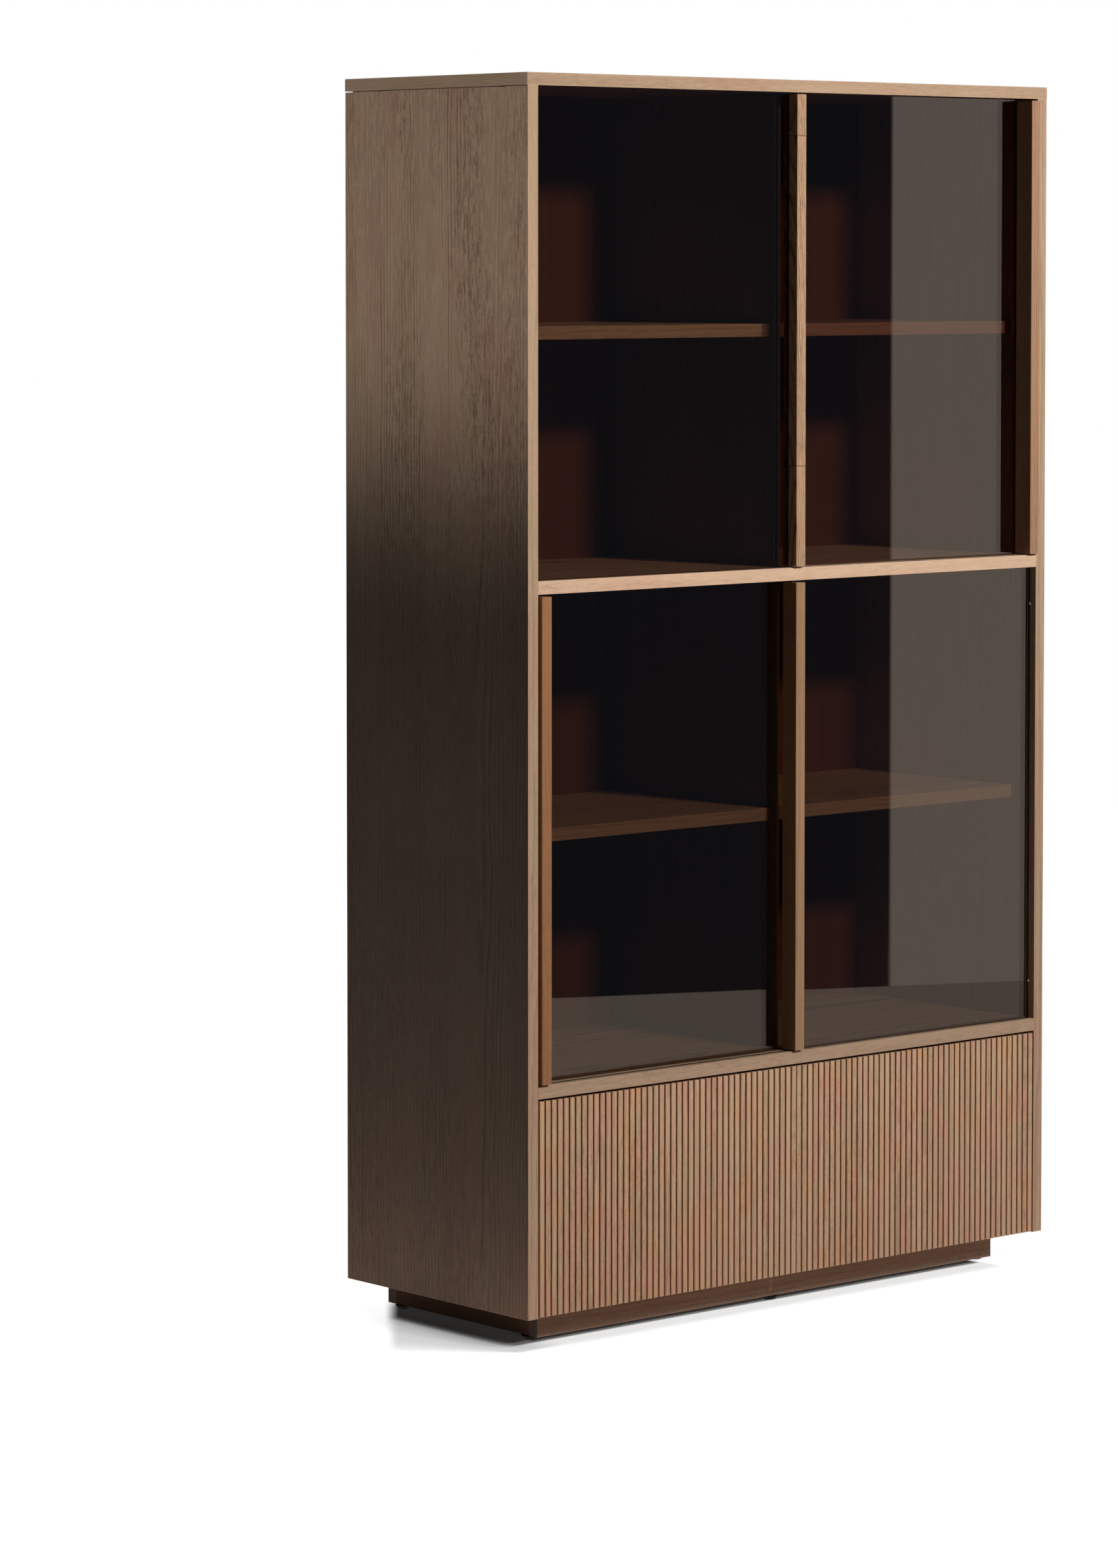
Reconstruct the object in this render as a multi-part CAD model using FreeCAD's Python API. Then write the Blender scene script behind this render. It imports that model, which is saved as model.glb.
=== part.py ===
import FreeCAD, Part
import os

# Bookcase with four sliding glass doors above two slatted drawers, on a set-back plinth.
# Frame: X to the right, Y to the back, Z up; the origin is on the floor, midway across the width and the depth.
# All lengths are in millimetres.

# --- driving dimensions -------------------------------------------------------------------------------------
overall_width = 1100.0
overall_height = 1900.0
case_depth = 430.0
pull_proud = 7.0            # how far the door pulls stand out of the case front

top_overhang = 1.0          # the top panel past the side panels, each side
top_thickness = 19.0
side_thickness = 20.0
shelf_thickness = 20.0
divider_thickness = 20.0
back_thickness = 6.0
back_recess = 9.5           # from the case's back edges to the back panels
back_groove_depth = 8.0
case_bottom = 48.0          # the side panels' lower edges above the floor
drawer_section = 329.0      # from the side panels' lower edges to the lower fixed shelf
interior_setback = 52.0     # dividers and loose shelves behind the case front

plinth_front_setback = 53.0
plinth_side_setback = 63.0
plinth_back_setback = 22.0
plinth_rail = 19.0
plinth_clearance = 6.0      # under the plinth, where the feet show
foot_inset = 28.0

glass = 5.0
front_glass_setback = 11.5  # front face of the front track's glass behind the case front
rear_glass_setback = 26.8
pull_width = 19.0
front_pull_depth = 30.5
rear_pull_depth = 45.0
pull_top_gap = 3.2
pull_bottom_gap = 2.2
door_side_gap = 1.5
glass_side_gap = 2.0
door_overlap = 25.0         # the rear glass past the middle of the case
channel_width = 8.0
channel_wall = 1.0
top_channel_depth = 9.0
bottom_channel_depth = 4.0
glide_height = 2.0
lift_clearance = 3.2        # room above the glass for lifting a door out

front_thickness = 19.0      # drawer front with its slats
slat_thickness = 5.0
slat_count = 44
slat_gap = 3.0
front_side_gap = 3.0
front_middle_gap = 2.0
front_top_gap = 3.5
front_bottom_lift = 1.5
box_wall = 12.0
box_floor = 6.0
box_height = 220.0
box_length = 370.0
box_lift = 34.0             # the drawer boxes above the side panels' lower edges
runner_thickness = 12.7
runner_length = 350.0
runner_height = 45.0
runner_lift = 60.0          # the runners' middle above the boxes' lower edges

arris = 0.8                 # rounding of the boards' long edges
fit = 0.05                  # clearance round pins, cams, bolts and screws
pin_radius = 2.5
pin_reach = 8.0
pin_pitch = 32.0
spare_rows = 2              # spare shelf-pin holes above and below each pin

# --- places worked out from the driving dimensions ----------------------------------------------------------
case_back = (case_depth + pull_proud) / 2
case_front = case_back - case_depth
outer_x = overall_width / 2 - top_overhang
inner_x = outer_x - side_thickness
top_under = overall_height - top_thickness
lower_shelf_under = case_bottom + drawer_section
lower_shelf_top = lower_shelf_under + shelf_thickness
bay_height = (top_under - lower_shelf_top - shelf_thickness) / 2
middle_shelf_under = lower_shelf_top + bay_height
middle_shelf_top = middle_shelf_under + shelf_thickness
back_rear = case_back - back_recess
back_face = back_rear - back_thickness
interior_front = case_front + interior_setback
half_divider = divider_thickness / 2
bottom_top = case_bottom + shelf_thickness
plinth_front = case_front + plinth_front_setback
plinth_back = case_back - plinth_back_setback
plinth_x = outer_x - plinth_side_setback
front_back_face = case_front + front_thickness
drawer_divider_front = front_back_face + 2.0
box_bottom = case_bottom + box_lift
runner_z = box_bottom + runner_lift
box_outer = inner_x - runner_thickness
box_inner = half_divider + runner_thickness
foot_x = plinth_x - plinth_rail / 2

BAYS = {"upper": (middle_shelf_top, top_under), "lower": (lower_shelf_top, middle_shelf_under)}
SIDES = {"left": -1, "right": 1}


# --- building helpers ---------------------------------------------------------------------------------------
def box(x, y, z):
    """A block between two x, two y and two z values, given in either order."""
    low = [min(pair) for pair in (x, y, z)]
    size = [abs(pair[1] - pair[0]) for pair in (x, y, z)]
    return Part.makeBox(*size, FreeCAD.Vector(*low))


def rod(radius, start, direction, length):
    """A cylinder from a start point along a direction."""
    return Part.makeCylinder(radius, length, FreeCAD.Vector(*start), FreeCAD.Vector(*direction))


def cone(start_radius, end_radius, start, direction, length):
    """A truncated cone from a start point along a direction."""
    return Part.makeCone(start_radius, end_radius, length, FreeCAD.Vector(*start), FreeCAD.Vector(*direction))


def group(solids):
    """Separate solids kept together as one sub-part."""
    return Part.makeCompound(solids)


def ease(board, places, radius=arris):
    """Round the edges whose middle lies at one of the places; None in a place matches any value."""
    def at_place(edge):
        middle = edge.CenterOfMass
        for place in places:
            if all(want is None or abs(want - have) < 0.01 for want, have in zip(place, middle)):
                return True
        return False
    return board.makeFillet(radius, [edge for edge in board.Edges if at_place(edge)])


# --- holes and fasteners that several boards share ----------------------------------------------------------
CAM_RADIUS = 7.5
CAM_DEPTH = 13.5
CAM_FROM_END = 34.0
BOLT_SHANK = 3.4
BOLT_THREAD = 3.0
BOLT_THREAD_LENGTH = 11.0
CAM_Y = (case_front + 75.0, back_face - 55.0)
CAMMED_BOARDS = (case_bottom, lower_shelf_under, middle_shelf_under)
DOWEL_RADIUS = 4.0
DOWEL_LENGTH = 24.0
SCREW_RADIUS = 1.75
SCREW_LENGTH = 20.0
SCREW_HEAD_RADIUS = 3.5
SCREW_HEAD_HEIGHT = 2.0
SCREW_X = (60.0, 265.0, 470.0)
BRACKET_X = 265.0
BRACKET_WIDTH = 40.0
BRACKET_LEG = 35.0
BRACKET_FOOT = 30.0
BRACKET_SHEET = 2.5
ANCHOR_RADIUS = 3.0
ANCHOR_DROP = 22.0
ANCHOR_Z = top_under - ANCHOR_DROP
BRACKET_SCREW_X = 12.0


def cam_places():
    """Middle of the face of each cam in a horizontal board, with the side that it pulls towards."""
    return [(side * (inner_x - CAM_FROM_END), y, z, side)
            for side in (-1, 1) for y in CAM_Y for z in CAMMED_BOARDS]


def top_cam_places():
    """Middle of the face of each cam in a side panel, near the top."""
    return [(side * inner_x, y, top_under - CAM_FROM_END, side) for side in (-1, 1) for y in CAM_Y]


def cam_bores(board_bottom):
    """Bores in a horizontal board for its cams, and for the bolts that they pull on."""
    bores = []
    for x, y, z, side in cam_places():
        if z == board_bottom:
            bores.append(rod(CAM_RADIUS + fit, (x, y, z), (0, 0, 1), CAM_DEPTH + fit))
            bolt_z = z + shelf_thickness / 2
            bores.append(rod(BOLT_SHANK + fit, (side * inner_x, y, bolt_z), (-side, 0, 0), CAM_FROM_END))
    return bores


def dowel_places():
    """Joint centres of the dowels that hold the dividers between the horizontal boards."""
    y_front = interior_front + 60.0
    y_back = back_face - 60.0
    levels = (bottom_top, lower_shelf_under, lower_shelf_top, middle_shelf_under, middle_shelf_top, top_under)
    return [(0.0, y, z) for z in levels for y in (y_front, y_back)]


def dowel_bore(place):
    """The bore of a dowel through its joint, a little longer and wider than the dowel."""
    x, y, z = place
    return rod(DOWEL_RADIUS + fit, (x, y, z - dowel_reach(z, -1) - fit), (0, 0, 1), DOWEL_LENGTH + 2 * fit)


def dowel_reach(z, direction):
    """How far a dowel runs below (-1) its joint: a third of it where the board is below, else two thirds."""
    board_is_below = z in (bottom_top, lower_shelf_top, middle_shelf_top)
    return DOWEL_LENGTH / 3 if board_is_below == (direction < 0) else 2 * DOWEL_LENGTH / 3


def screw_levels():
    """Heights at which screws hold the back panels to the horizontal boards."""
    return [board + shelf_thickness / 2 for board in CAMMED_BOARDS]


def back_screw_places():
    """Where each back-panel screw's head meets the back panel."""
    return [(side * x, back_rear, z) for side in (-1, 1) for x in SCREW_X for z in screw_levels()]


def bracket_screw_places():
    """Where each bracket screw's head meets its wall bracket, under the top panel."""
    y = back_face - BRACKET_FOOT * 0.6
    z = top_under - BRACKET_SHEET
    return [(side * BRACKET_X + across, y, z) for side in (-1, 1)
            for across in (-BRACKET_SCREW_X, BRACKET_SCREW_X)]


def anchor_bore(side):
    """The hole for a wall screw, through a wall bracket and the back panel."""
    start = (side * BRACKET_X, back_face - BRACKET_SHEET, ANCHOR_Z)
    return rod(ANCHOR_RADIUS, start, (0, 1, 0), BRACKET_SHEET + back_thickness)


# --- shelf pins ---------------------------------------------------------------------------------------------
def loose_shelf_bottom(bay):
    """Height of the underside of the loose shelves of a bay, which stand at its middle."""
    low, high = BAYS[bay]
    return (low + high - shelf_thickness) / 2


PIN_Y = (interior_front + 40.0, back_face - 50.0)


def pin_holes(face_x, inward):
    """Two rows of shelf-pin holes per bay in the face at face_x, drilled along inward."""
    holes = []
    for bay in BAYS:
        pin_z = loose_shelf_bottom(bay) - pin_radius
        for row in range(-spare_rows, spare_rows + 1):
            for y in PIN_Y:
                start = (face_x, y, pin_z + row * pin_pitch)
                holes.append(rod(pin_radius + fit, start, (inward, 0, 0), pin_reach + 1.0))
    return holes


def shelf_pins():
    """Steel pins with a collar, four under each loose shelf."""
    pins = []
    for bay in BAYS:
        z = loose_shelf_bottom(bay) - pin_radius
        for y in PIN_Y:
            for face_x, inward in ((-inner_x, -1), (-half_divider, 1), (half_divider, -1), (inner_x, 1)):
                pin = rod(pin_radius, (face_x + inward * pin_reach, y, z), (-inward, 0, 0), 2 * pin_reach)
                collar = rod(1.6 * pin_radius, (face_x, y, z), (-inward, 0, 0), arris)
                pins.append(pin.fuse(collar).removeSplitter())
    return group(pins)


# --- door tracks --------------------------------------------------------------------------------------------
def track_centres():
    """Middle of the front and of the rear track, along Y."""
    return [case_front + setback + glass / 2 for setback in (front_glass_setback, rear_glass_setback)]


def track_grooves(surface_z, depth):
    """Grooves for the door channels; a negative depth cuts downwards from the surface."""
    half = channel_width / 2
    return [box((-inner_x, inner_x), (y - half, y + half), (surface_z, surface_z + depth))
            for y in track_centres()]


def channel(y, surface_z, depth):
    """A U-shaped plastic channel with its open side at the surface."""
    half = channel_width / 2
    slot = half - channel_wall
    floor = channel_wall if depth > 0 else -channel_wall
    body = box((-inner_x, inner_x), (y - half, y + half), (surface_z, surface_z + depth))
    return body.cut(box((-inner_x, inner_x), (y - slot, y + slot), (surface_z, surface_z + depth - floor)))


def top_track_channels():
    """The deep channels that the glass reaches up into, two per bay."""
    return group([channel(y, high, top_channel_depth) for _, high in BAYS.values() for y in track_centres()])


def bottom_track_channels():
    """The shallow channels that the doors slide in, two per bay."""
    return group([channel(y, low, -bottom_channel_depth) for low, _ in BAYS.values() for y in track_centres()])


# --- case boards --------------------------------------------------------------------------------------------
REBATE_HEIGHT = 1.6
REBATE_DEPTH = 15.0
REBATE_STOP = 2.0


def side_panel(side):
    """A side panel: eased edges, back groove, shadow rebate under the top, cams and shelf-pin holes."""
    outer = side * outer_x
    inner = side * inner_x
    board = box((inner, outer), (case_front, case_back), (case_bottom, top_under))
    board = ease(board, [(outer, case_front, None), (inner, case_front, None), (outer, case_back, None),
                         (None, case_front, case_bottom), (outer, None, case_bottom)])
    cuts = [box((inner, inner + side * back_groove_depth), (back_face, back_rear), (case_bottom, top_under)),
            box((outer, outer - side * REBATE_DEPTH), (case_front + REBATE_STOP, case_back),
                (top_under, top_under - REBATE_HEIGHT))]
    cuts += pin_holes(inner, side)
    for x, y, z, cam_side in top_cam_places():
        if cam_side == side:
            cuts.append(rod(CAM_RADIUS + fit, (x, y, z), (side, 0, 0), CAM_DEPTH + fit))
            bolt_x = side * (inner_x + side_thickness / 2)
            cuts.append(rod(BOLT_SHANK + fit, (bolt_x, y, z), (0, 0, 1), CAM_FROM_END))
    for x, y, z, cam_side in cam_places():
        if cam_side == side:
            start = (inner, y, z + shelf_thickness / 2)
            cuts.append(rod(BOLT_THREAD + fit, start, (side, 0, 0), BOLT_THREAD_LENGTH + fit))
    return board.cut(cuts)


def top_panel():
    """The top: rounded all round, with grooves underneath for the upper doors and the back panels."""
    half = overall_width / 2
    z = (top_under, overall_height)
    board = box((-half, half), (case_front, case_back), z)
    board = ease(board, [(x, y, None) for x in (-half, half) for y in (case_front, case_back)]
                 + [(None, y, overall_height) for y in (case_front, case_back)]
                 + [(x, None, overall_height) for x in (-half, half)], radius=1.5)
    cuts = track_grooves(top_under, top_channel_depth)
    groove_x = inner_x + back_groove_depth
    cuts.append(box((-groove_x, groove_x), (back_face, back_rear), (top_under, top_under + back_groove_depth)))
    for x, y, _, side in top_cam_places():
        bolt_x = side * (inner_x + side_thickness / 2)
        cuts.append(rod(BOLT_THREAD + fit, (bolt_x, y, top_under), (0, 0, 1), BOLT_THREAD_LENGTH + fit))
    for x, y, _ in bracket_screw_places():
        cuts.append(rod(SCREW_RADIUS + fit, (x, y, top_under), (0, 0, 1), SCREW_LENGTH - BRACKET_SHEET))
    cuts += [dowel_bore(place) for place in dowel_places() if place[2] == top_under]
    return board.cut(cuts)


def horizontal_board(bottom, front_y):
    """A fixed board between the side panels, with its cams, dowels and back screws."""
    top = bottom + shelf_thickness
    board = box((-inner_x, inner_x), (front_y, back_face), (bottom, top))
    board = ease(board, [(None, front_y, bottom), (None, front_y, top)])
    cuts = cam_bores(bottom)
    cuts += [dowel_bore(place) for place in dowel_places() if bottom <= place[2] <= top]
    for x, y, z in back_screw_places():
        if bottom < z < top:
            cuts.append(rod(SCREW_RADIUS + fit, (x, y, z), (0, -1, 0), SCREW_LENGTH + fit))
    return board.cut(cuts)


def middle_fixed_shelf():
    """The board between the two pairs of doors, grooved on both faces."""
    board = horizontal_board(middle_shelf_under, case_front)
    return board.cut(track_grooves(middle_shelf_top, -bottom_channel_depth)
                     + track_grooves(middle_shelf_under, top_channel_depth))


def lower_fixed_shelf():
    """The board over the drawers, grooved for the lower doors."""
    board = horizontal_board(lower_shelf_under, case_front)
    return board.cut(track_grooves(lower_shelf_top, -bottom_channel_depth))


def bottom_panel():
    """The case floor, set back to the plinth so that fingers reach behind the drawer fronts."""
    return horizontal_board(case_bottom, plinth_front)


def back_panel(side):
    """One half of the back, in the grooves of a side panel and the top."""
    x = (0.0, side * (inner_x + back_groove_depth))
    panel = box(x, (back_face, back_rear), (case_bottom + 3.0, top_under + back_groove_depth))
    cuts = [rod(SCREW_RADIUS + fit, place, (0, -1, 0), SCREW_LENGTH)
            for place in back_screw_places() if place[0] * side > 0]
    return panel.cut(cuts + [anchor_bore(side)])


def divider(z, front_y):
    """An upright board in the middle of the case, held by dowels."""
    board = box((-half_divider, half_divider), (front_y, back_face), z)
    board = ease(board, [(x, front_y, None) for x in (-half_divider, half_divider)])
    return board.cut([dowel_bore(place) for place in dowel_places() if place[2] in z])


def bay_divider(bay):
    """A divider behind the doors of a bay, with shelf-pin holes in both faces."""
    board = divider(BAYS[bay], interior_front)
    return board.cut(pin_holes(-half_divider, 1) + pin_holes(half_divider, -1))


def loose_shelf(bay, side):
    """An adjustable shelf of one cell, resting on its four pins."""
    bottom = loose_shelf_bottom(bay)
    x = (side * (half_divider + 1.0), side * (inner_x - 1.0))
    board = box(x, (interior_front, back_face - 2.0), (bottom, bottom + shelf_thickness))
    return ease(board, [(None, interior_front, bottom), (None, interior_front, bottom + shelf_thickness)])


# --- fasteners and fittings of the case ---------------------------------------------------------------------
def cam(place, direction):
    """A cam lock with a cross recess in its face; direction points into the board."""
    x, y, z = place
    face = FreeCAD.Vector(x, y, z)
    into = FreeCAD.Vector(*direction)
    disc = Part.makeCylinder(CAM_RADIUS, CAM_DEPTH, face, into)
    half_slot = 0.8
    reach = 4.0
    deep = 2.0
    slots = []
    for long_way in range(3):
        if abs(direction[long_way]) < 0.5:
            half = [half_slot] * 3
            half[long_way] = reach
            half[[abs(value) > 0.5 for value in direction].index(True)] = deep
            slots.append(box((x - half[0], x + half[0]), (y - half[1], y + half[1]), (z - half[2], z + half[2])))
    return disc.cut(slots)


def cam_locks():
    """All cams: in the horizontal boards from below, and in the side panels near the top."""
    cams = [cam((x, y, z), (0, 0, 1)) for x, y, z, _ in cam_places()]
    return group(cams + [cam((x, y, z), (side, 0, 0)) for x, y, z, side in top_cam_places()])


def cam_bolt(joint, towards_cam):
    """A bolt screwed into one board and reaching to the rim of the cam in the other."""
    away = [-value for value in towards_cam]
    shank = rod(BOLT_SHANK, joint, towards_cam, CAM_FROM_END - CAM_RADIUS - 4 * fit)
    thread = rod(BOLT_THREAD, joint, away, BOLT_THREAD_LENGTH)
    return shank.fuse(thread)


def cam_bolts():
    """The bolts that the cams pull on."""
    bolts = []
    for x, y, z, side in cam_places():
        bolts.append(cam_bolt((side * inner_x, y, z + shelf_thickness / 2), (-side, 0, 0)))
    for x, y, z, side in top_cam_places():
        bolts.append(cam_bolt((side * (inner_x + side_thickness / 2), y, top_under), (0, 0, -1)))
    return group(bolts)


def wood_dowels():
    """Dowels between the dividers and the boards above and below them."""
    return group([rod(DOWEL_RADIUS, (x, y, z - dowel_reach(z, -1)), (0, 0, 1), DOWEL_LENGTH)
                  for x, y, z in dowel_places()])


def screw(place, into):
    """A pan-head screw whose head rests at the place."""
    away = [-value for value in into]
    head = cone(SCREW_HEAD_RADIUS, SCREW_HEAD_RADIUS * 0.7, place, away, SCREW_HEAD_HEIGHT)
    return head.fuse(rod(SCREW_RADIUS, place, into, SCREW_LENGTH - 1.0))


def case_screws():
    """Screws through the back panels into the boards, and through the wall brackets into the top."""
    screws = [screw(place, (0, -1, 0)) for place in back_screw_places()]
    return group(screws + [screw(place, (0, 0, 1)) for place in bracket_screw_places()])


def wall_brackets():
    """Two steel angles under the top panel, for screws into the wall."""
    brackets = []
    for side in (-1, 1):
        centre = side * BRACKET_X
        x = (centre - BRACKET_WIDTH / 2, centre + BRACKET_WIDTH / 2)
        foot = box(x, (back_face - BRACKET_FOOT, back_face), (top_under - BRACKET_SHEET, top_under))
        leg = box(x, (back_face - BRACKET_SHEET, back_face), (top_under - BRACKET_LEG, top_under))
        bores = [anchor_bore(side)]
        bores += [rod(SCREW_RADIUS + fit, place, (0, 0, 1), BRACKET_SHEET) for place in bracket_screw_places()]
        brackets.append(foot.fuse(leg).removeSplitter().cut(bores))
    return group(brackets)


def door_bumpers():
    """Clear discs on the side panels that soften the doors' closing, two per door."""
    bumper_radius = 2.4
    clearance = 0.5
    front_y, rear_y = track_centres()
    bumpers = []
    for bay, front_door_side in (("upper", -1), ("lower", 1)):
        low, high = BAYS[bay]
        for z in (low + 60.0, high - 60.0):
            bumpers.append(rod(bumper_radius, (front_door_side * inner_x, front_y, z), (-front_door_side, 0, 0),
                               glass_side_gap - clearance))
            bumpers.append(rod(bumper_radius, (-front_door_side * inner_x, rear_y, z), (front_door_side, 0, 0),
                               door_side_gap - clearance))
    return group(bumpers)


# --- plinth and feet ----------------------------------------------------------------------------------------
FOOT_STEM = 3.0
FOOT_STEM_LENGTH = 22.0
FOOT_TOP_RADIUS = 14.0
FOOT_BASE_RADIUS = 11.0
INSERT_RADIUS = 5.0
INSERT_LENGTH = 16.0
plinth_z = (plinth_clearance, case_bottom)
FEET = {
    "front_left_foot": (-foot_x, plinth_front + foot_inset),
    "front_centre_foot": (0.0, plinth_front + plinth_rail / 2),
    "front_right_foot": (foot_x, plinth_front + foot_inset),
    "back_left_foot": (-foot_x, plinth_back - foot_inset),
    "back_centre_foot": (0.0, plinth_back - plinth_rail / 2),
    "back_right_foot": (foot_x, plinth_back - foot_inset),
}


def insert_bores():
    """Bores in the plinth's lower edges for the feet's threaded inserts, and room above for the stems."""
    bores = []
    for x, y in FEET.values():
        bores.append(rod(INSERT_RADIUS + fit, (x, y, plinth_clearance), (0, 0, 1), INSERT_LENGTH))
        bores.append(rod(FOOT_STEM + 0.5, (x, y, plinth_clearance), (0, 0, 1), FOOT_STEM_LENGTH + 4.0))
    return bores


def plinth_long_rail(y):
    """The front or the back rail of the plinth, over its full width."""
    rail = box((-plinth_x, plinth_x), y, plinth_z)
    rail = ease(rail, [(x, y_edge, None) for x in (-plinth_x, plinth_x) for y_edge in y]
                + [(None, y_edge, plinth_clearance) for y_edge in y])
    return rail.cut(insert_bores())


def plinth_side_rails():
    """The two end rails of the plinth, between its long rails."""
    y = (plinth_front + plinth_rail, plinth_back - plinth_rail)
    rails = []
    for side in (-1, 1):
        rail = box((side * plinth_x, side * (plinth_x - plinth_rail)), y, plinth_z)
        rail = ease(rail, [(side * plinth_x, None, plinth_clearance)])
        rails.append(rail.cut(insert_bores()))
    return group(rails)


def plinth_cross_rail():
    """The rail under the middle of the case floor."""
    half = plinth_rail / 2
    return box((-half, half), (plinth_front + plinth_rail, plinth_back - plinth_rail), plinth_z)


def foot_inserts():
    """Threaded sleeves in the plinth's lower edges."""
    sleeves = []
    for x, y in FEET.values():
        base = (x, y, plinth_clearance)
        sleeve = rod(INSERT_RADIUS, base, (0, 0, 1), INSERT_LENGTH - fit)
        sleeves.append(sleeve.cut(rod(FOOT_STEM + fit, base, (0, 0, 1), INSERT_LENGTH)))
    return group(sleeves)


def foot(x, y):
    """A levelling foot: a tapered base that narrows to the floor, with a stem up into its insert."""
    base = cone(FOOT_BASE_RADIUS, FOOT_TOP_RADIUS, (x, y, 0), (0, 0, 1), plinth_clearance - 6 * fit)
    return base.fuse(rod(FOOT_STEM, (x, y, 1.0), (0, 0, 1), plinth_clearance + FOOT_STEM_LENGTH - 1.0))


# --- sliding doors ------------------------------------------------------------------------------------------
GLIDE_LENGTH = 40.0
GLIDE_INSET = 30.0
PULL_GROOVE_DEPTH = 10.0
PULL_GROOVE_PLAY = 0.1
PULL_EDGE = 1.0


class Door:
    """The sizes of one sliding door: which bay and side it closes, and which track it runs in.

    The door in the front track has its pull at the middle of the case; the door in the rear track has its
    pull beside a side panel.
    """

    def __init__(self, bay, side, track):
        low, high = BAYS[bay]
        self.side = side
        self.in_front = track == "front"
        setback = front_glass_setback if self.in_front else rear_glass_setback
        self.glass_y = (case_front + setback, case_front + setback + glass)
        channel_floor = low - bottom_channel_depth + channel_wall
        self.glide_z = (channel_floor, channel_floor + glide_height)
        self.glass_z = (self.glide_z[1], high + top_channel_depth - channel_wall - lift_clearance)
        self.pull_z = (low + pull_bottom_gap, high - pull_top_gap)
        pull_depth = front_pull_depth if self.in_front else rear_pull_depth
        self.pull_y = (case_front - pull_proud, case_front - pull_proud + pull_depth)
        if self.in_front:
            self.pull_x = (-pull_width / 2, pull_width / 2)
            pull_face = side * pull_width / 2
            self.glass_x = (pull_face - side * PULL_GROOVE_DEPTH, side * (inner_x - glass_side_gap))
        else:
            far = side * (inner_x - door_side_gap)
            pull_face = far - side * pull_width
            self.pull_x = (pull_face, far)
            self.glass_x = (-side * door_overlap, pull_face + side * PULL_GROOVE_DEPTH)

    def pane(self):
        """The frameless glass pane with ground edges."""
        pane = box(self.glass_x, self.glass_y, self.glass_z)
        return pane.makeChamfer(0.5, [edge for edge in pane.Edges if edge.Length > 2 * glass])

    def pull(self):
        """The full-height wooden pull, with a groove that holds the edge of the glass."""
        bar = box(self.pull_x, self.pull_y, self.pull_z)
        bar = ease(bar, [(x, y, None) for x in self.pull_x for y in self.pull_y], radius=PULL_EDGE)
        play = PULL_GROOVE_PLAY
        groove_y = (self.glass_y[0] - play, self.glass_y[1] + play)
        return bar.cut(box(self.glass_x, groove_y, self.pull_z))

    def glides(self):
        """Two low-friction strips under the glass, which run on the floor of the channel."""
        low, high = sorted(self.glass_x)
        starts = (low + GLIDE_INSET, high - GLIDE_INSET - GLIDE_LENGTH)
        return group([box((start, start + GLIDE_LENGTH), self.glass_y, self.glide_z) for start in starts])


DOORS = {
    "upper_left_door": Door("upper", -1, "front"),
    "upper_right_door": Door("upper", 1, "rear"),
    "lower_left_door": Door("lower", -1, "rear"),
    "lower_right_door": Door("lower", 1, "front"),
}


# --- drawers ------------------------------------------------------------------------------------------------
GRIP_BEVEL_DEPTH = 8.0
GRIP_BEVEL_HEIGHT = 22.0
FLOOR_LIFT = 12.0
FLOOR_GROOVE = 6.0
FLOOR_INSET = 5.8
front_x = (front_middle_gap / 2, inner_x - front_side_gap)
front_z = (case_bottom + front_bottom_lift, lower_shelf_under - front_top_gap)
slat_width = (front_x[1] - front_x[0] - (slat_count - 1) * slat_gap) / slat_count


def drawer_front_board(side):
    """The board behind the slats, bevelled at the back of its lower edge for the fingers."""
    y = (case_front + slat_thickness, front_back_face)
    board = box((side * front_x[0], side * front_x[1]), y, front_z)
    low = front_z[0]
    corners = [(y[1], low), (y[1] - GRIP_BEVEL_DEPTH, low), (y[1], low + GRIP_BEVEL_HEIGHT), (y[1], low)]
    profile = Part.makePolygon([FreeCAD.Vector(side * front_x[0], *corner) for corner in corners])
    width = side * (front_x[1] - front_x[0])
    return board.cut(Part.Face(profile).extrude(FreeCAD.Vector(width, 0, 0)))


def drawer_slats(side):
    """The upright slats on the drawer front, each a separate strip with eased front edges."""
    slats = []
    for number in range(slat_count):
        start = front_x[0] + number * (slat_width + slat_gap)
        x = (side * start, side * (start + slat_width))
        slat = box(x, (case_front, case_front + slat_thickness), front_z)
        slats.append(ease(slat, [(edge_x, case_front, None) for edge_x in x], radius=0.6))
    return group(slats)


def drawer_box_walls(side):
    """Two sides, an inner front and a back, grooved for the drawer floor."""
    y = (front_back_face, front_back_face + box_length)
    z = (box_bottom, box_bottom + box_height)
    groove = drawer_floor_block(side, FLOOR_GROOVE)
    inner = box_inner + box_wall
    outer = box_outer - box_wall
    walls = [box((side * box_inner, side * inner), y, z), box((side * outer, side * box_outer), y, z),
             box((side * inner, side * outer), (y[0], y[0] + box_wall), z),
             box((side * inner, side * outer), (y[1] - box_wall, y[1]), z)]
    return group([wall.cut(groove) for wall in walls])


def drawer_floor_block(side, into_walls):
    """The drawer floor, reaching a given distance into the four walls."""
    x = (side * (box_inner + box_wall - into_walls), side * (box_outer - box_wall + into_walls))
    y = (front_back_face + box_wall - into_walls, front_back_face + box_length - box_wall + into_walls)
    z = (box_bottom + FLOOR_LIFT, box_bottom + FLOOR_LIFT + box_floor)
    return box(x, y, z)


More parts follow.
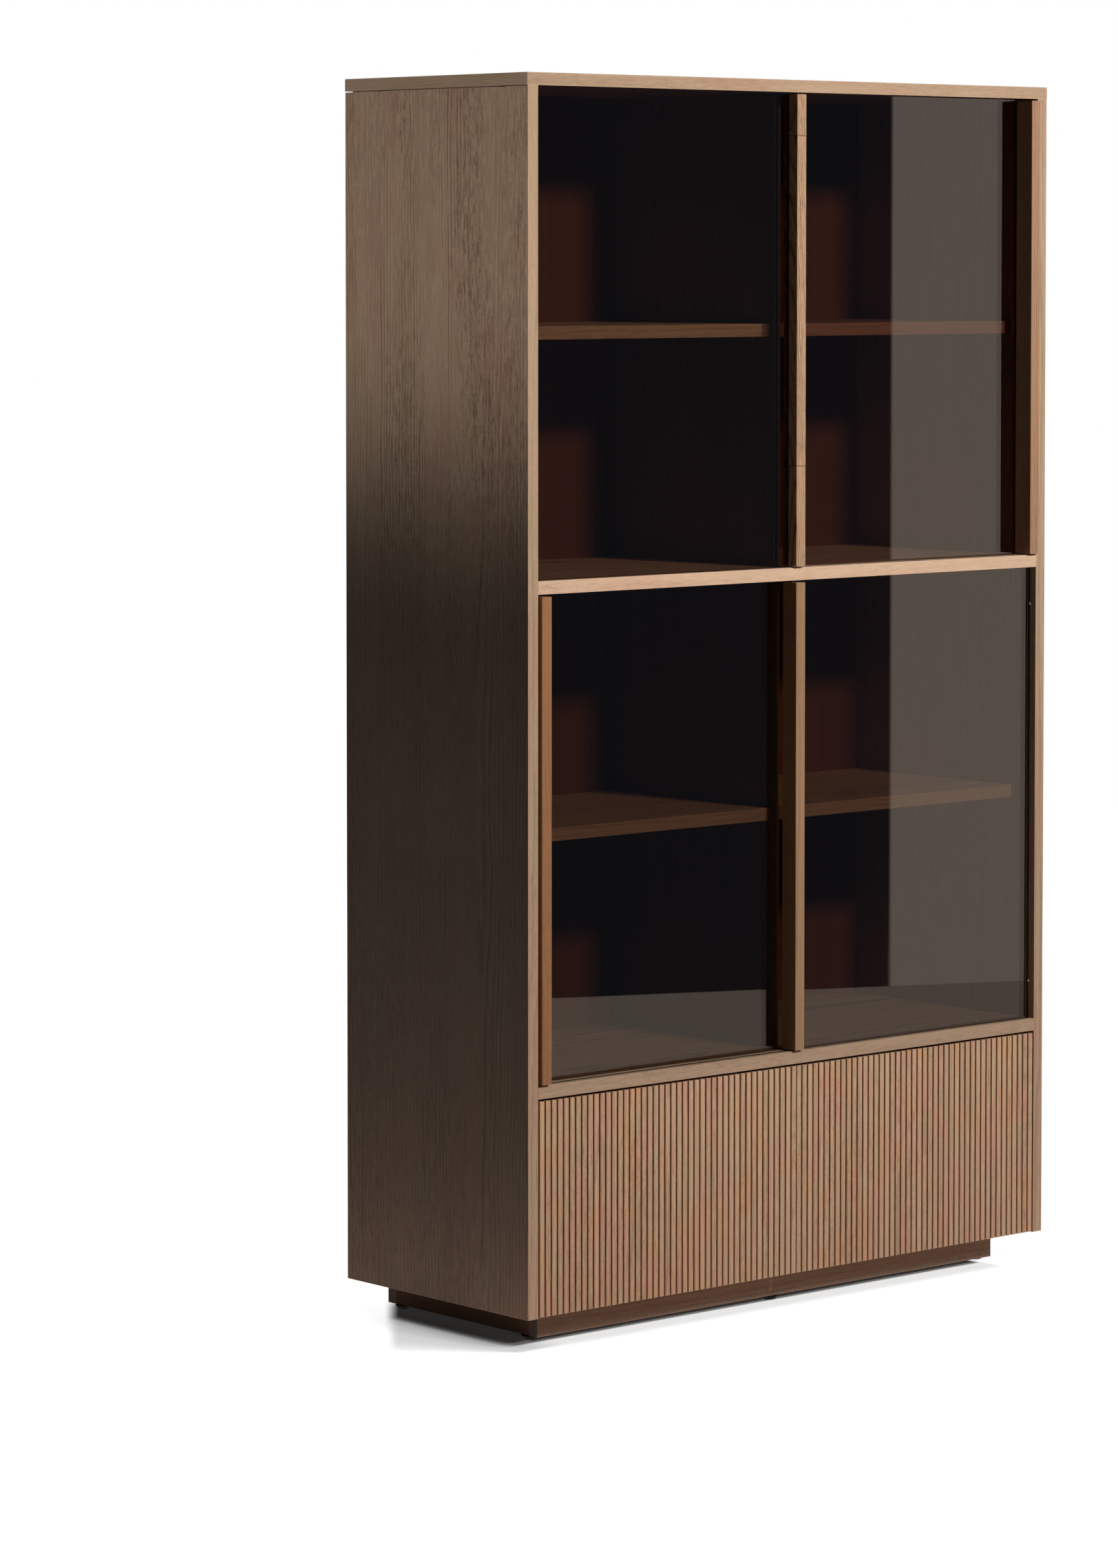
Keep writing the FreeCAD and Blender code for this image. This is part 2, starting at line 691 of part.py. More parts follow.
def runner_member(face_x, inward, near, far, web_is_near, height):
    """A C-shaped steel member between two distances from a case face, open away from its web."""
    sheet = 1.2
    y = (drawer_divider_front, drawer_divider_front + runner_length)
    x_near = face_x + inward * near
    x_far = face_x + inward * far
    half = height / 2
    block = box((x_near, x_far), y, (runner_z - half, runner_z + half))
    hollow = half - sheet
    hollow_x = (x_near + inward * sheet, x_far) if web_is_near else (x_near, x_far - inward * sheet)
    return block.cut(box(hollow_x, y, (runner_z - hollow, runner_z + hollow)))


RUNNER_FACES = {-1: ((-inner_x, 1), (-half_divider, -1)), 1: ((half_divider, 1), (inner_x, -1))}


def runner_outer_members():
    """The members screwed to the side panels and the drawer divider, two per drawer."""
    return group([runner_member(face, inward, 0.0, 10.5, True, runner_height)
                  for faces in RUNNER_FACES.values() for face, inward in faces])


def runner_middles(side):
    """The two middle members of a drawer's runners, which travel half as far as the drawer."""
    return group([runner_member(face, inward, 2.6, 10.8, True, runner_height - 7.0)
                  for face, inward in RUNNER_FACES[side]])


def runner_inners(side):
    """The two members screwed to a drawer's sides."""
    return group([runner_member(face, inward, 5.2, runner_thickness, False, runner_height - 14.0)
                  for face, inward in RUNNER_FACES[side]])


# --- all sub-parts ------------------------------------------------------------------------------------------
parts = {
    "top_panel": top_panel(),
    "middle_fixed_shelf": middle_fixed_shelf(),
    "lower_fixed_shelf": lower_fixed_shelf(),
    "bottom_panel": bottom_panel(),
    "upper_divider": bay_divider("upper"),
    "lower_divider": bay_divider("lower"),
    "drawer_divider": divider((bottom_top, lower_shelf_under), drawer_divider_front),
    "plinth_front_rail": plinth_long_rail((plinth_front, plinth_front + plinth_rail)),
    "plinth_back_rail": plinth_long_rail((plinth_back - plinth_rail, plinth_back)),
    "plinth_side_rails": plinth_side_rails(),
    "plinth_cross_rail": plinth_cross_rail(),
    "shelf_pins": shelf_pins(),
    "top_track_channels": top_track_channels(),
    "bottom_track_channels": bottom_track_channels(),
    "door_bumpers": door_bumpers(),
    "cam_locks": cam_locks(),
    "cam_bolts": cam_bolts(),
    "wood_dowels": wood_dowels(),
    "case_screws": case_screws(),
    "wall_brackets": wall_brackets(),
    "foot_inserts": foot_inserts(),
    "runner_outer_members": runner_outer_members(),
}
for foot_name, (foot_place_x, foot_place_y) in FEET.items():
    parts[foot_name] = foot(foot_place_x, foot_place_y)
for door_name, door in DOORS.items():
    parts[door_name + "_glass"] = door.pane()
    parts[door_name + "_pull"] = door.pull()
    parts[door_name + "_glides"] = door.glides()
for side_name, side_sign in SIDES.items():
    parts[side_name + "_side_panel"] = side_panel(side_sign)
    parts[side_name + "_back_panel"] = back_panel(side_sign)
    for bay_name in BAYS:
        parts[bay_name + "_" + side_name + "_shelf"] = loose_shelf(bay_name, side_sign)
    drawer_name = side_name + "_drawer_"
    parts[drawer_name + "front_board"] = drawer_front_board(side_sign)
    parts[drawer_name + "slats"] = drawer_slats(side_sign)
    parts[drawer_name + "box_walls"] = drawer_box_walls(side_sign)
    parts[drawer_name + "floor"] = drawer_floor_block(side_sign, FLOOR_INSET)
    parts[drawer_name + "runner_middles"] = runner_middles(side_sign)
    parts[drawer_name + "runner_inners"] = runner_inners(side_sign)

os.makedirs("parts", exist_ok=True)
for node, shape in parts.items():
    if not shape.isValid():
        raise ValueError(node + " is not a valid shape")
    shape.exportStep("parts/" + node + ".step")
print(len(parts), "sub-parts; bay height", bay_height, "; slat width", slat_width)
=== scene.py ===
"""Looks of a tall bookcase with sliding smoked-glass doors over slatted drawers.

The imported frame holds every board, pane and fitting in its place. This file gives each of them its finish,
makes the small turned parts that the frame holds as plain solids, and sets up a plain studio round them.
Lengths are in metres, in the frame's own axes: X to the right, Y to the back, Z up.
"""

import logging
import math
from dataclasses import dataclass, field
from enum import Enum

import bmesh
import bpy
import numpy as np
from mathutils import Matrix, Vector


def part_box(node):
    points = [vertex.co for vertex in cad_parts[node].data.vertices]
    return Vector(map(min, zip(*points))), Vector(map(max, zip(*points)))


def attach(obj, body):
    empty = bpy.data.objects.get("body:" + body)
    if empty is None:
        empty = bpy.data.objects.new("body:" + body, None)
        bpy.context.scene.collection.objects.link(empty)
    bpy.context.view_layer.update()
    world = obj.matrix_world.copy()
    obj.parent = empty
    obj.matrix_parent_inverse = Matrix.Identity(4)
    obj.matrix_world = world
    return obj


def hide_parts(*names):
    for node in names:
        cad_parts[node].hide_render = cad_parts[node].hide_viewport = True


log = logging.getLogger("bookcase")
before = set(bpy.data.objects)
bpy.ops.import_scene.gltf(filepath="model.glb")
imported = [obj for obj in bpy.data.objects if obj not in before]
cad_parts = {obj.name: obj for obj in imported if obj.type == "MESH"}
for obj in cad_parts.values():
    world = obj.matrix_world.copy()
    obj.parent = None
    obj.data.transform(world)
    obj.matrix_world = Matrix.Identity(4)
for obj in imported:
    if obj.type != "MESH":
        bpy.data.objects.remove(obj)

Material, Piece, Socket = bpy.types.Material, bpy.types.Object, bpy.types.NodeSocket
Colour = tuple[float, float, float, float]
Place = tuple[float, float, float]
Span = tuple[float, float]
BLACK: Colour = (0.0, 0.0, 0.0, 1.0)
WHITE: Colour = (1.0, 1.0, 1.0, 1.0)


def paint(red: int, green: int, blue: int) -> Colour:
    """Turn a colour in screen values into the linear colour that shaders take.

    Args:
        red: Red from 0 to 255.
        green: Green from 0 to 255.
        blue: Blue from 0 to 255.

    Returns:
        The linear colour with full opacity.
    """
    shares = np.array([red, green, blue]) / 255
    linear = np.where(shares <= 0.04045, shares / 12.92, ((shares + 0.055) / 1.055) ** 2.4)
    return (float(linear[0]), float(linear[1]), float(linear[2]), 1.0)


# --- shader expressions ---
class Value:
    """A number that changes over a surface: an output socket that arithmetic extends with Math nodes."""

    def __init__(self, bench: "Bench", socket: Socket) -> None:
        """Hold the socket and the bench that it was made on."""
        self.bench = bench
        self.socket = socket

    def maths(self, operation: str, *others: "Value | float") -> "Value":
        """Join this value and others with one Math node."""
        node = self.bench.node("Math", {"operation": operation}, dict(enumerate((self, *others))))
        return Value(self.bench, node.outputs[0])

    def __add__(self, other: "Value | float") -> "Value":
        """Add."""
        return self.maths("ADD", other)

    __radd__ = __add__

    def __mul__(self, other: "Value | float") -> "Value":
        """Multiply."""
        return self.maths("MULTIPLY", other)

    __rmul__ = __mul__

    def __sub__(self, other: "Value | float") -> "Value":
        """Subtract another value from this one."""
        return self.maths("SUBTRACT", other)

    def __rsub__(self, other: float) -> "Value":
        """Subtract this value from a number."""
        return self * -1.0 + other

    def __truediv__(self, other: "Value | float") -> "Value":
        """Divide by another value."""
        return self.maths("DIVIDE", other)

    def __abs__(self) -> "Value":
        """Take away the sign."""
        return self.maths("ABSOLUTE")

    def floor(self) -> "Value":
        """Round down."""
        return self.maths("FLOOR")

    def fraction(self) -> "Value":
        """Keep what is past the whole number."""
        return self.maths("FRACT")

    def root(self) -> "Value":
        """Take the square root."""
        return self.maths("SQRT")

    def power(self, exponent: float) -> "Value":
        """Raise to a power."""
        return self.maths("POWER", exponent)

    def most(self, other: "Value | float") -> "Value":
        """Keep the larger of two values."""
        return self.maths("MAXIMUM", other)

    def step(self, low: float, high: float, start: float = 0.0, end: float = 1.0) -> "Value":
        """Rise smoothly between two limits.

        Args:
            low: Where the rise starts.
            high: Where it ends.
            start: The value below the rise.
            end: The value above it.

        Returns:
            The smooth step.
        """
        node = self.bench.node(
            "MapRange", {"interpolation_type": "SMOOTHSTEP"},
            {"Value": self, "From Min": low, "From Max": high, "To Min": start, "To Max": end})
        return Value(self.bench, node.outputs[0])


class Bench:
    """The node tree of one material or of the world, with one way to add any node."""

    def __init__(self, tree: bpy.types.NodeTree) -> None:
        """Clear the tree and keep it."""
        self.tree = tree
        tree.nodes.clear()

    def node(self, kind: str, settings: dict | None = None, sockets: dict | None = None) -> bpy.types.Node:
        """Add one node.

        Args:
            kind: The node's type, without its ShaderNode prefix.
            settings: Properties of the node, which are set first.
            sockets: Values, or what feeds them, by socket name or number.

        Returns:
            The new node.
        """
        node = self.tree.nodes.new("ShaderNode" + kind)
        for name, value in (settings or {}).items():
            setattr(node, name, value)
        for key, value in (sockets or {}).items():
            source = value.socket if isinstance(value, Value) else value
            if isinstance(source, Socket):
                self.tree.links.new(source, node.inputs[key])
            else:
                node.inputs[key].default_value = source
        return node

    def value(self, node: bpy.types.Node, output: str | int = 0) -> Value:
        """Take one output of a node as a value."""
        return Value(self, node.outputs[output])

    def parts(self, vector: Socket) -> list[Value]:
        """Split a vector or a colour in its three numbers."""
        node = self.node("SeparateXYZ", sockets={0: vector})
        return [self.value(node, number) for number in range(3)]

    def place(self) -> list[Value]:
        """Where a point lies in the frame, as three values."""
        return self.parts(self.node("TexCoord").outputs["Object"])

    def vector(self, *numbers: Value | float) -> Socket:
        """Join three numbers in a vector."""
        return self.node("CombineXYZ", sockets=dict(enumerate(numbers))).outputs[0]

    def scaled(self, *scales: float) -> Socket:
        """Where a point lies in the frame, with each axis scaled by its own number."""
        return self.vector(*(value * scale for value, scale in zip(self.place(), scales)))

    def noise(self, vector: Socket, scale: float = 1.0, detail: float = 2.0) -> Value:
        """Smooth noise about 0.5 over a vector."""
        return self.value(self.node("TexNoise", sockets={"Vector": vector, "Scale": scale, "Detail": detail}))

    def chance(self, number: Value | float, seed: Value | float) -> list[Value]:
        """Three random numbers from 0 to 1 for each whole number."""
        sockets = {"Vector": self.vector(number, seed, 0.5)}
        return self.parts(self.node("TexWhiteNoise", {"noise_dimensions": "3D"}, sockets).outputs["Color"])

    def mixed(self, share: Value | float, first: object, second: object) -> Socket:
        """Mix two colours; a share of 1 is all of the second."""
        node = self.node("Mix", {"data_type": "RGBA"}, {0: share, 6: first, 7: second})
        return node.outputs[2]

    def bump(self, height: Value, depth: float, strength: float = 1.0) -> Socket:
        """Turn a height from 0 to 1 into a normal, for relief of a given depth."""
        sockets = {"Strength": strength, "Distance": depth, "Height": height}
        return self.node("Bump", sockets=sockets).outputs[0]

    def surface(self, shader: bpy.types.Node) -> None:
        """Send a shader to the output."""
        self.node("OutputMaterial", sockets={"Surface": shader.outputs[0]})

    def principled(self, sockets: dict) -> None:
        """Send a Principled BSDF to the output."""
        self.surface(self.node("BsdfPrincipled", sockets=sockets))

    def seen(self) -> Value:
        """1 where the camera looks, straight or through glass, and 0 for light and mirrors."""
        path = self.node("LightPath")
        return self.value(path, "Is Camera Ray").most(self.value(path, "Is Transmission Ray"))

    def mirrored(self) -> Value:
        """1 in what mirrors show."""
        return self.value(self.node("LightPath"), "Is Glossy Ray")


def new_material(name: str) -> tuple[Material, Bench]:
    """Make an empty material.

    Args:
        name: The material's name.

    Returns:
        The material, and the bench for its nodes.
    """
    material = bpy.data.materials.new(name)
    material.use_nodes = True
    return material, Bench(material.node_tree)


# --- boards and how their fibres run ---
class Fibres(Enum):
    """The axis that a board's fibres run along."""

    ACROSS = 0
    DEEP = 1
    UPRIGHT = 2


@dataclass(frozen=True)
class Board:
    """The box that a board fills, and how its fibres run.

    Its inner_side is the sign of the face that looks into the case, or 0 if none does. Its calm_edges says
    how much the grain fades on its narrow edges, from 0 to 1.
    """

    low: Place
    high: Place
    fibres: Fibres
    inner_side: int = 0
    calm_edges: float = 1.0

    @classmethod
    def of_node(cls, node: str, fibres: Fibres, inner_side: int = 0, calm_edges: float = 1.0) -> "Board":
        """Read a board's box from the frame."""
        low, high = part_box(node)
        return cls(tuple(low), tuple(high), fibres, inner_side, calm_edges)

    def axes(self) -> tuple[int, int, int]:
        """Sort the axes by how the board lies.

        Returns:
            The axes along the fibres, across the wider face, and through the thickness.
        """
        along = self.fibres.value
        others = [axis for axis in range(3) if axis != along]
        others.sort(key=lambda axis: self.low[axis] - self.high[axis])
        return along, others[0], others[1]

    def middle(self, axis: int) -> float:
        """The board's middle along one axis."""
        return (self.low[axis] + self.high[axis]) / 2


# --- finishes ---
@dataclass
class Grain:
    """Where a point lies in its piece of wood: along, across, through, and across from its leaf's middle.

    Every leaf has three random numbers of its own. Calm is 1 where the grain hardly shows, and end is 1 on
    the board's ends.
    """

    along: Value
    across: Value
    through: Value
    in_leaf: Value
    random: list[Value]
    calm: Value | float = 0.0
    end: Value | float = 0.0

    def noise(self, bench: Bench, across: float, along: float, detail: float = 2.0) -> Value:
        """Noise with so many waves in a metre across the fibres and along them."""
        vector = bench.vector(self.across * across, self.through * across, self.along * along)
        return bench.noise(vector, detail=detail)


@dataclass(frozen=True)
class Ash:
    """Stained ash: rings that run along the board, open pores in their early wood, and lighter edges, part
    wear and part painted highlight.

    A ring is where the distance from a tilted pith line behind the face, divided by the ring pitch, passes a
    whole number. Far from the pith the rings cut the face in straight lines, and above it in long arches. The
    glued joints lie at given places along the board. A board with a shade share is painted darker up to a
    given
    height and on its ends: painted shade, where the case's overhang shadows the plinth and on ends turned
    from the lamps.
    """

    name: str
    bright: Colour
    light: Colour
    middle: Colour
    dark: Colour
    pore: Colour
    ring_pitch: float = 0.0068
    ring_share: float = 0.85
    fleck_share: float = 0.75
    pore_share: float = 0.4
    least_zone: float = 0.08
    pith_depth: float = 0.055
    tilt: float = 0.035
    lean: float = 0.0
    leaf_width: float = 0.34
    first_seam: float = 0.12
    wear_and_highlight_share: float = 0.25
    roughness: float = 0.5
    joints: tuple[float, ...] = ()
    painted_shade_share: float = 0.0
    painted_shade_top: float = 0.0158
    patchiness: float = 0.0
    gloss: float = 0.3
    end_shift: float = 0.09
    wear_and_highlight_reach: float = 0.002

    def pattern(self, bench: Bench, board: Board, seed: float) -> Grain:
        """Place the grain on a board.

        The board's ends are banded: there the grain runs along the end. Its narrow edges and its inner face,
        if it has one, are calmer. Past a glued joint the wood is another piece, with its own random numbers.

        Args:
            bench: Where the nodes go.
            board: The board that the grain is for.
            seed: A number that makes this board's grain its own.

        Returns:
            The grain.
        """
        place = bench.place()
        axes = board.axes()
        along, across, through = (place[axis] - board.middle(axis) for axis in axes)
        half_length, half_width = ((board.high[axis] - board.low[axis]) / 2 for axis in axes[:2])
        end = abs(along).step(half_length - 0.0006, half_length - 0.0002)
        calm = end.most(abs(across).step(half_width - 0.0009, half_width - 0.0004) * board.calm_edges)
        if board.inner_side:
            calm = calm.most((through * board.inner_side).step(-0.001, 0.001))
        along, across = along + (across - along) * end, across + (through + self.end_shift - across) * end
        leaf = ((across - self.first_seam) / self.leaf_width).floor()
        in_leaf = across - self.first_seam - (leaf + 0.5) * self.leaf_width
        for joint in self.joints:
            leaf = leaf + place[axes[0]].maths("GREATER_THAN", joint) * 7.0
        random = bench.chance(leaf, seed)
        return Grain(along + random[1] * 3.1, across, through, in_leaf, random, calm, end)

    def rings(self, bench: Bench, grain: Grain) -> tuple[Value, Value]:
        """Where the rings lie: the porous early wood, and the dense late wood just before the next ring.

        Every ring has its own width and strength, zones of plain wood part the bundles of strong rings, and
        each line breaks off here and there along the fibres.

        Args:
            bench: Where the nodes go.
            grain: Where a point lies in its piece of wood.

        Returns:
            The early wood and the late wood, each from 0 to 1.
        """
        random = grain.random
        swaying = bench.vector(grain.across * 3.0, grain.along * 0.9, grain.through * 3.0)
        sway = bench.noise(swaying, detail=1.0) - 0.5
        from_pith = grain.in_leaf + (random[0] - 0.5) * (0.4 * self.leaf_width) + sway * 0.035
        slope = (random[2] - 0.5) * (2 * self.tilt) + self.lean
        depth = grain.along * slope + grain.through + self.pith_depth
        radius = (from_pith * from_pith + depth * depth).root()
        ring = radius / self.ring_pitch + grain.noise(bench, 30.0, 5.0) * 1.9
        own = bench.chance(ring.floor(), random[1])
        part = ring.fraction()
        zone = bench.noise(bench.vector(grain.across * 14.0, grain.along * 0.5, random[2] * 9.0), detail=1.0)
        broken = grain.noise(bench, 260.0, 11.0).step(0.34, 0.52, 0.35, 1.0)
        strength = zone.step(0.4, 0.52, self.least_zone, 1.0) * broken * (own[1] * 0.6 + 0.4)
        strength = strength * (1.0 - grain.calm * 0.65) * self.ring_share
        early = (part / (own[0] * 0.25 + 0.25)).step(0.6, 1.0, 1.0, 0.0) * part.step(0.0, 0.06)
        late = part.step(0.55, 0.8) * part.step(0.92, 1.0, 1.0, 0.0)
        return early * strength, late * strength

    def worn(self, bench: Bench, board: Board) -> Value:
        """Where two faces of the board meet, from 0 on the faces to 1 on the edges, which are lightened: part
        wear, part painted highlight.

        Each axis counts the closeness to its own two faces, and an edge has two of them.

        Args:
            bench: Where the nodes go.
            board: The board.

        Returns:
            The closeness to an edge.
        """
        near = None
        for axis, value in enumerate(bench.place()):
            half = (board.high[axis] - board.low[axis]) / 2
            close = abs(value - board.middle(axis)).step(half - self.wear_and_highlight_reach, half - self.wear_and_highlight_reach / 4)
            near = close if near is None else near + close
        return (near - 1.0).step(0.1, 0.9)

    def tinted(self, bench: Bench, colour: Socket, grain: Grain) -> Socket:
        """Tint the ground in soft patches a hand wide, redder ones mostly low down and olive ones high up.
        The lean to red low down is painted warm shade near the floor.

        Args:
            bench: Where the nodes go.
            colour: The ground colour.
            grain: Where a point lies in its piece of wood.

        Returns:
            The tinted colour.
        """
        if not self.patchiness:
            return colour
        # The rise in redness low down is painted warm shade, the reddish light near the floor.
        redness = grain.noise(bench, 10.0, 4.0, 1.0) + bench.place()[2].step(0.6, 1.5, 0.09, -0.02)
        red, olive = ((*(part * share for part, share in zip(self.middle, tint)), 1.0)
                      for tint in ((1.16, 0.85, 0.92), (1.0, 1.02, 0.82)))
        colour = bench.mixed(redness.step(0.5, 0.62) * self.patchiness, colour, red)
        return bench.mixed(redness.step(0.36, 0.46, 1.0, 0.0) * self.patchiness, colour, olive)

    def material(self, board: Board, seed: float) -> Material:
        """Make the finish for one board.

        Args:
            board: The board to dress.
            seed: A number that makes this board's grain its own.

        Returns:
            The material.
        """
        material, bench = new_material(self.name)
        grain = self.pattern(bench, board, seed)
        early, late = self.rings(bench, grain)
        patches = grain.noise(bench, 9.0, 1.3)
        streaks = grain.noise(bench, 120.0, 2.5)
        flecks = grain.noise(bench, 330.0, 40.0)
        specks = grain.noise(bench, 420.0, 150.0, 1.0)
        cells = grain.noise(bench, 1300.0, 60.0, 3.0)
        pores = cells.step(0.5, 0.66) * (early * 0.8 + 0.2)
        tone = (patches * 0.8 + streaks * 0.9 + grain.random[1] * 0.3 - 0.6).step(0.0, 1.0)
        colour = self.tinted(bench, bench.mixed(tone, self.light, self.middle), grain)
        lively = (1.0 - grain.calm * 0.6) * self.fleck_share
        dashes = (flecks.step(0.5, 0.65) + specks.step(0.5, 0.65) * 0.7) * patches.step(0.4, 0.62, 0.12, 0.9)
        colour = bench.mixed(dashes * lively, colour, self.dark)
        colour = bench.mixed(late * 0.8 + flecks.step(0.32, 0.46, 0.6, 0.0) * lively, colour, self.bright)
        colour = bench.mixed(early, colour, self.pore)
        colour = bench.mixed(pores * self.pore_share, colour, self.pore)
        for joint in self.joints:
            glue = abs(bench.place()[board.axes()[0]] - joint).step(0.0005, 0.0014, 0.7, 0.0)
            colour = bench.mixed(glue, colour, self.pore)
        # Painted shade: darker below a given height, where the case's overhang shadows the plinth, and on the
        # board's ends.
        if self.painted_shade_share:
            up = bench.place()[2]
            painted_shade = up.step(self.painted_shade_top - 0.004, self.painted_shade_top, self.painted_shade_share, 0.0)
            colour = bench.mixed(painted_shade.most(grain.end * 0.8), colour, BLACK)
        # Edges lightened in patches with the bright shade: part wear, part painted highlight on the rounded
        # arrises.
        if self.wear_and_highlight_share:
            rubbed_and_lit = self.worn(bench, board) * patches.step(0.3, 0.6) * self.wear_and_highlight_share
            colour = bench.mixed(rubbed_and_lit, colour, self.bright)
        height = 1.0 - pores * 0.7 - early * 0.3 + cells * 0.15
        rough = early * 0.08 + (cells - 0.5) * 0.12 + self.roughness
        normal = bench.bump(height, 0.00025, 0.5)
        bench.principled({
            "Base Color": colour, "Roughness": rough, "Specular IOR Level": self.gloss, "Normal": normal})
        return material


@dataclass(frozen=True)
class Backing(Ash):
    """Stained ash whose inner face is a dark red-brown, part stain and part painted warm shade inside the
    case, and whose outer face, which looks out of the back, is a plainer and paler brown.
    """

    outer: Colour = BLACK
    outer_from: float = 0.206
    outer_share: float = 0.8

    def tinted(self, bench: Bench, colour: Socket, grain: Grain) -> Socket:
        """Pale the board past its middle plane, on the side of the outer face."""
        outside = bench.place()[1].step(self.outer_from, self.outer_from + 0.001, 0.0, self.outer_share)
        return bench.mixed(outside, colour, self.outer)


@dataclass(frozen=True)
class Slatted(Ash):
    """Stained ash strips whose ground colour shifts between warm tints over a few strips and along them."""

    rosy: Colour = BLACK
    orange: Colour = BLACK
    orange_shares: Span = (0.42, 0.77)
    rosy_shares: Span = (0.38, 0.73)

    def pattern(self, bench: Bench, board: Board, seed: float) -> Grain:
        """Place the grain on strips, each with wood of its own.

        Args:
            bench: Where the nodes go.
            board: The box of all strips.
            seed: A number that makes these strips' grain their own.

        Returns:
            The grain.
        """
        place = bench.place()
        along, across, through = (place[axis] - board.middle(axis) for axis in board.axes())
        strip = bench.value(bench.node("Attribute", {"attribute_name": "strip"}), "Fac")
        random = bench.chance(strip, seed)
        return Grain(along + random[0] * 7.0, across, through, across, random)

    def tinted(self, bench: Bench, colour: Socket, grain: Grain) -> Socket:
        """Tint the strips in patches that span two or three of them and a hand's breadth along them.

        Each strip takes the tint in its own share, between the least and the most.

        Args:
            bench: Where the nodes go.
            colour: The ground colour.
            grain: Where a point lies in its strip.

        Returns:
            The tinted colour.
        """
        x, _, z = bench.place()
        warmth = bench.noise(bench.vector(x * 36.0, 0.5, z * 15.0)).step(0.5, 0.64)
        redness = bench.noise(bench.vector(x * 34.0, 7.5, z * 13.0)).step(0.48, 0.62)
        own_warmth, own_redness = (random * (most - least) + least for random, (least, most) in (
            (grain.random[2], self.orange_shares), (grain.random[1], self.rosy_shares)))
        colour = bench.mixed(warmth * own_warmth, colour, self.orange)
        return bench.mixed(redness * own_redness, colour, self.rosy)


@dataclass(frozen=True)
class Plywood:
    """Clear-lacquered plywood: pale faces with faint grain, and ply lines on the cut edges."""

    name: str
    face: Colour
    shade: Colour
    line: Colour
    ply: float = 0.0015
    wall_spans: tuple[Span, ...] = ()

    def material(self) -> Material:
        """Make the finish; ply lines follow X inside the spans of the side walls, and Y elsewhere.

        Returns:
            The material.
        """
        material, bench = new_material(self.name)
        x, y, _ = bench.place()
        in_side = None
        for low, high in self.wall_spans:
            half = (high - low) / 2
            inside = abs(abs(x) - (low + high) / 2).step(half, half + 0.0002, 1.0, 0.0)
            in_side = inside if in_side is None else in_side.most(inside)
        through = x * in_side + y * (1.0 - in_side)
        plies = (through / (2 * self.ply)).fraction().step(0.45, 0.55)
        grain = bench.noise(bench.scaled(30.0, 30.0, 30.0), detail=4.0)
        fibres = bench.noise(bench.scaled(14.0, 14.0, 700.0), detail=3.0)
        up = abs(bench.parts(bench.node("NewGeometry").outputs["Normal"])[2]).step(0.7, 0.9)
        colour = bench.mixed((grain * 0.6 + fibres * 0.8 - 0.2).step(0.2, 0.8), self.face, self.shade)
        colour = bench.mixed(plies * up * 0.6, colour, self.line)
        rough = 0.5 + (fibres - 0.5) * 0.2
        normal = bench.bump(fibres, 0.0001, 0.3)
        bench.principled({"Base Color": colour, "Roughness": rough, "Normal": normal})
        return material


@dataclass(frozen=True)
class SmokedGlass:
    """Bronze-smoked float glass: a face tints what shows through and mirrors a little; the edges are matt."""

    name: str
    tint: Colour
    shine: Colour
    edge: Colour
    head_on: float = 0.05

    def material(self) -> Material:
        """Make the finish; the mirror's share grows with the fifth power of how far the face turns away.

        Returns:
            The material.
        """
        material, bench = new_material(self.name)
        aside = bench.value(bench.node("LayerWeight", sockets={"Blend": 0.5}), "Facing")
        mirror = aside.power(5.0) * (1.0 - self.head_on) + self.head_on
        facing = abs(bench.parts(bench.node("TexCoord").outputs["Normal"])[1])
        ground = facing.step(0.5, 0.9, 1.0, 0.0)
        smears = bench.noise(bench.scaled(9.0, 9.0, 4.0), detail=4.0)
        grit = bench.noise(bench.scaled(900.0, 900.0, 900.0))
        clear = bench.node("BsdfTransparent", sockets={"Color": self.tint})
        shine = bench.node("BsdfPrincipled", sockets={
            "Base Color": bench.mixed(ground, self.shine, self.edge), "Metallic": 1.0 - ground,
            "Roughness": smears.step(0.4, 0.8, 0.0, 0.012) + ground * (0.45 + grit * 0.2)})
        shaders = {1: clear.outputs[0], 2: shine.outputs[0]}
        bench.surface(bench.node("MixShader", sockets={0: mirror.most(ground), **shaders}))
        return material


@dataclass(frozen=True)
class Moulded:
    """Moulded plastic or rubber: a fine spark-eroded texture and faint scuffs."""

    name: str
    colour: Colour
    scuff: Colour
    roughness: float = 0.5
    texture: float = 900.0
    relief: float = 0.00005
    gloss: float = 0.5

    def material(self) -> Material:
        """Make the finish.

        Returns:
            The material.
        """
        material, bench = new_material(self.name)
        place = bench.vector(*bench.place())
        grit = bench.noise(place, self.texture, 3.0)
        scuffs = bench.noise(place, 60.0, 5.0).step(0.55, 0.75)
        colour = bench.mixed(scuffs * 0.5 + grit * 0.2, self.colour, self.scuff)
        rough = self.roughness + scuffs * 0.12 + (grit - 0.5) * 0.1
        normal = bench.bump(grit, self.relief, 0.6)
        bench.principled({
            "Base Color": colour, "Roughness": rough, "Specular IOR Level": self.gloss, "Normal": normal})
        return material


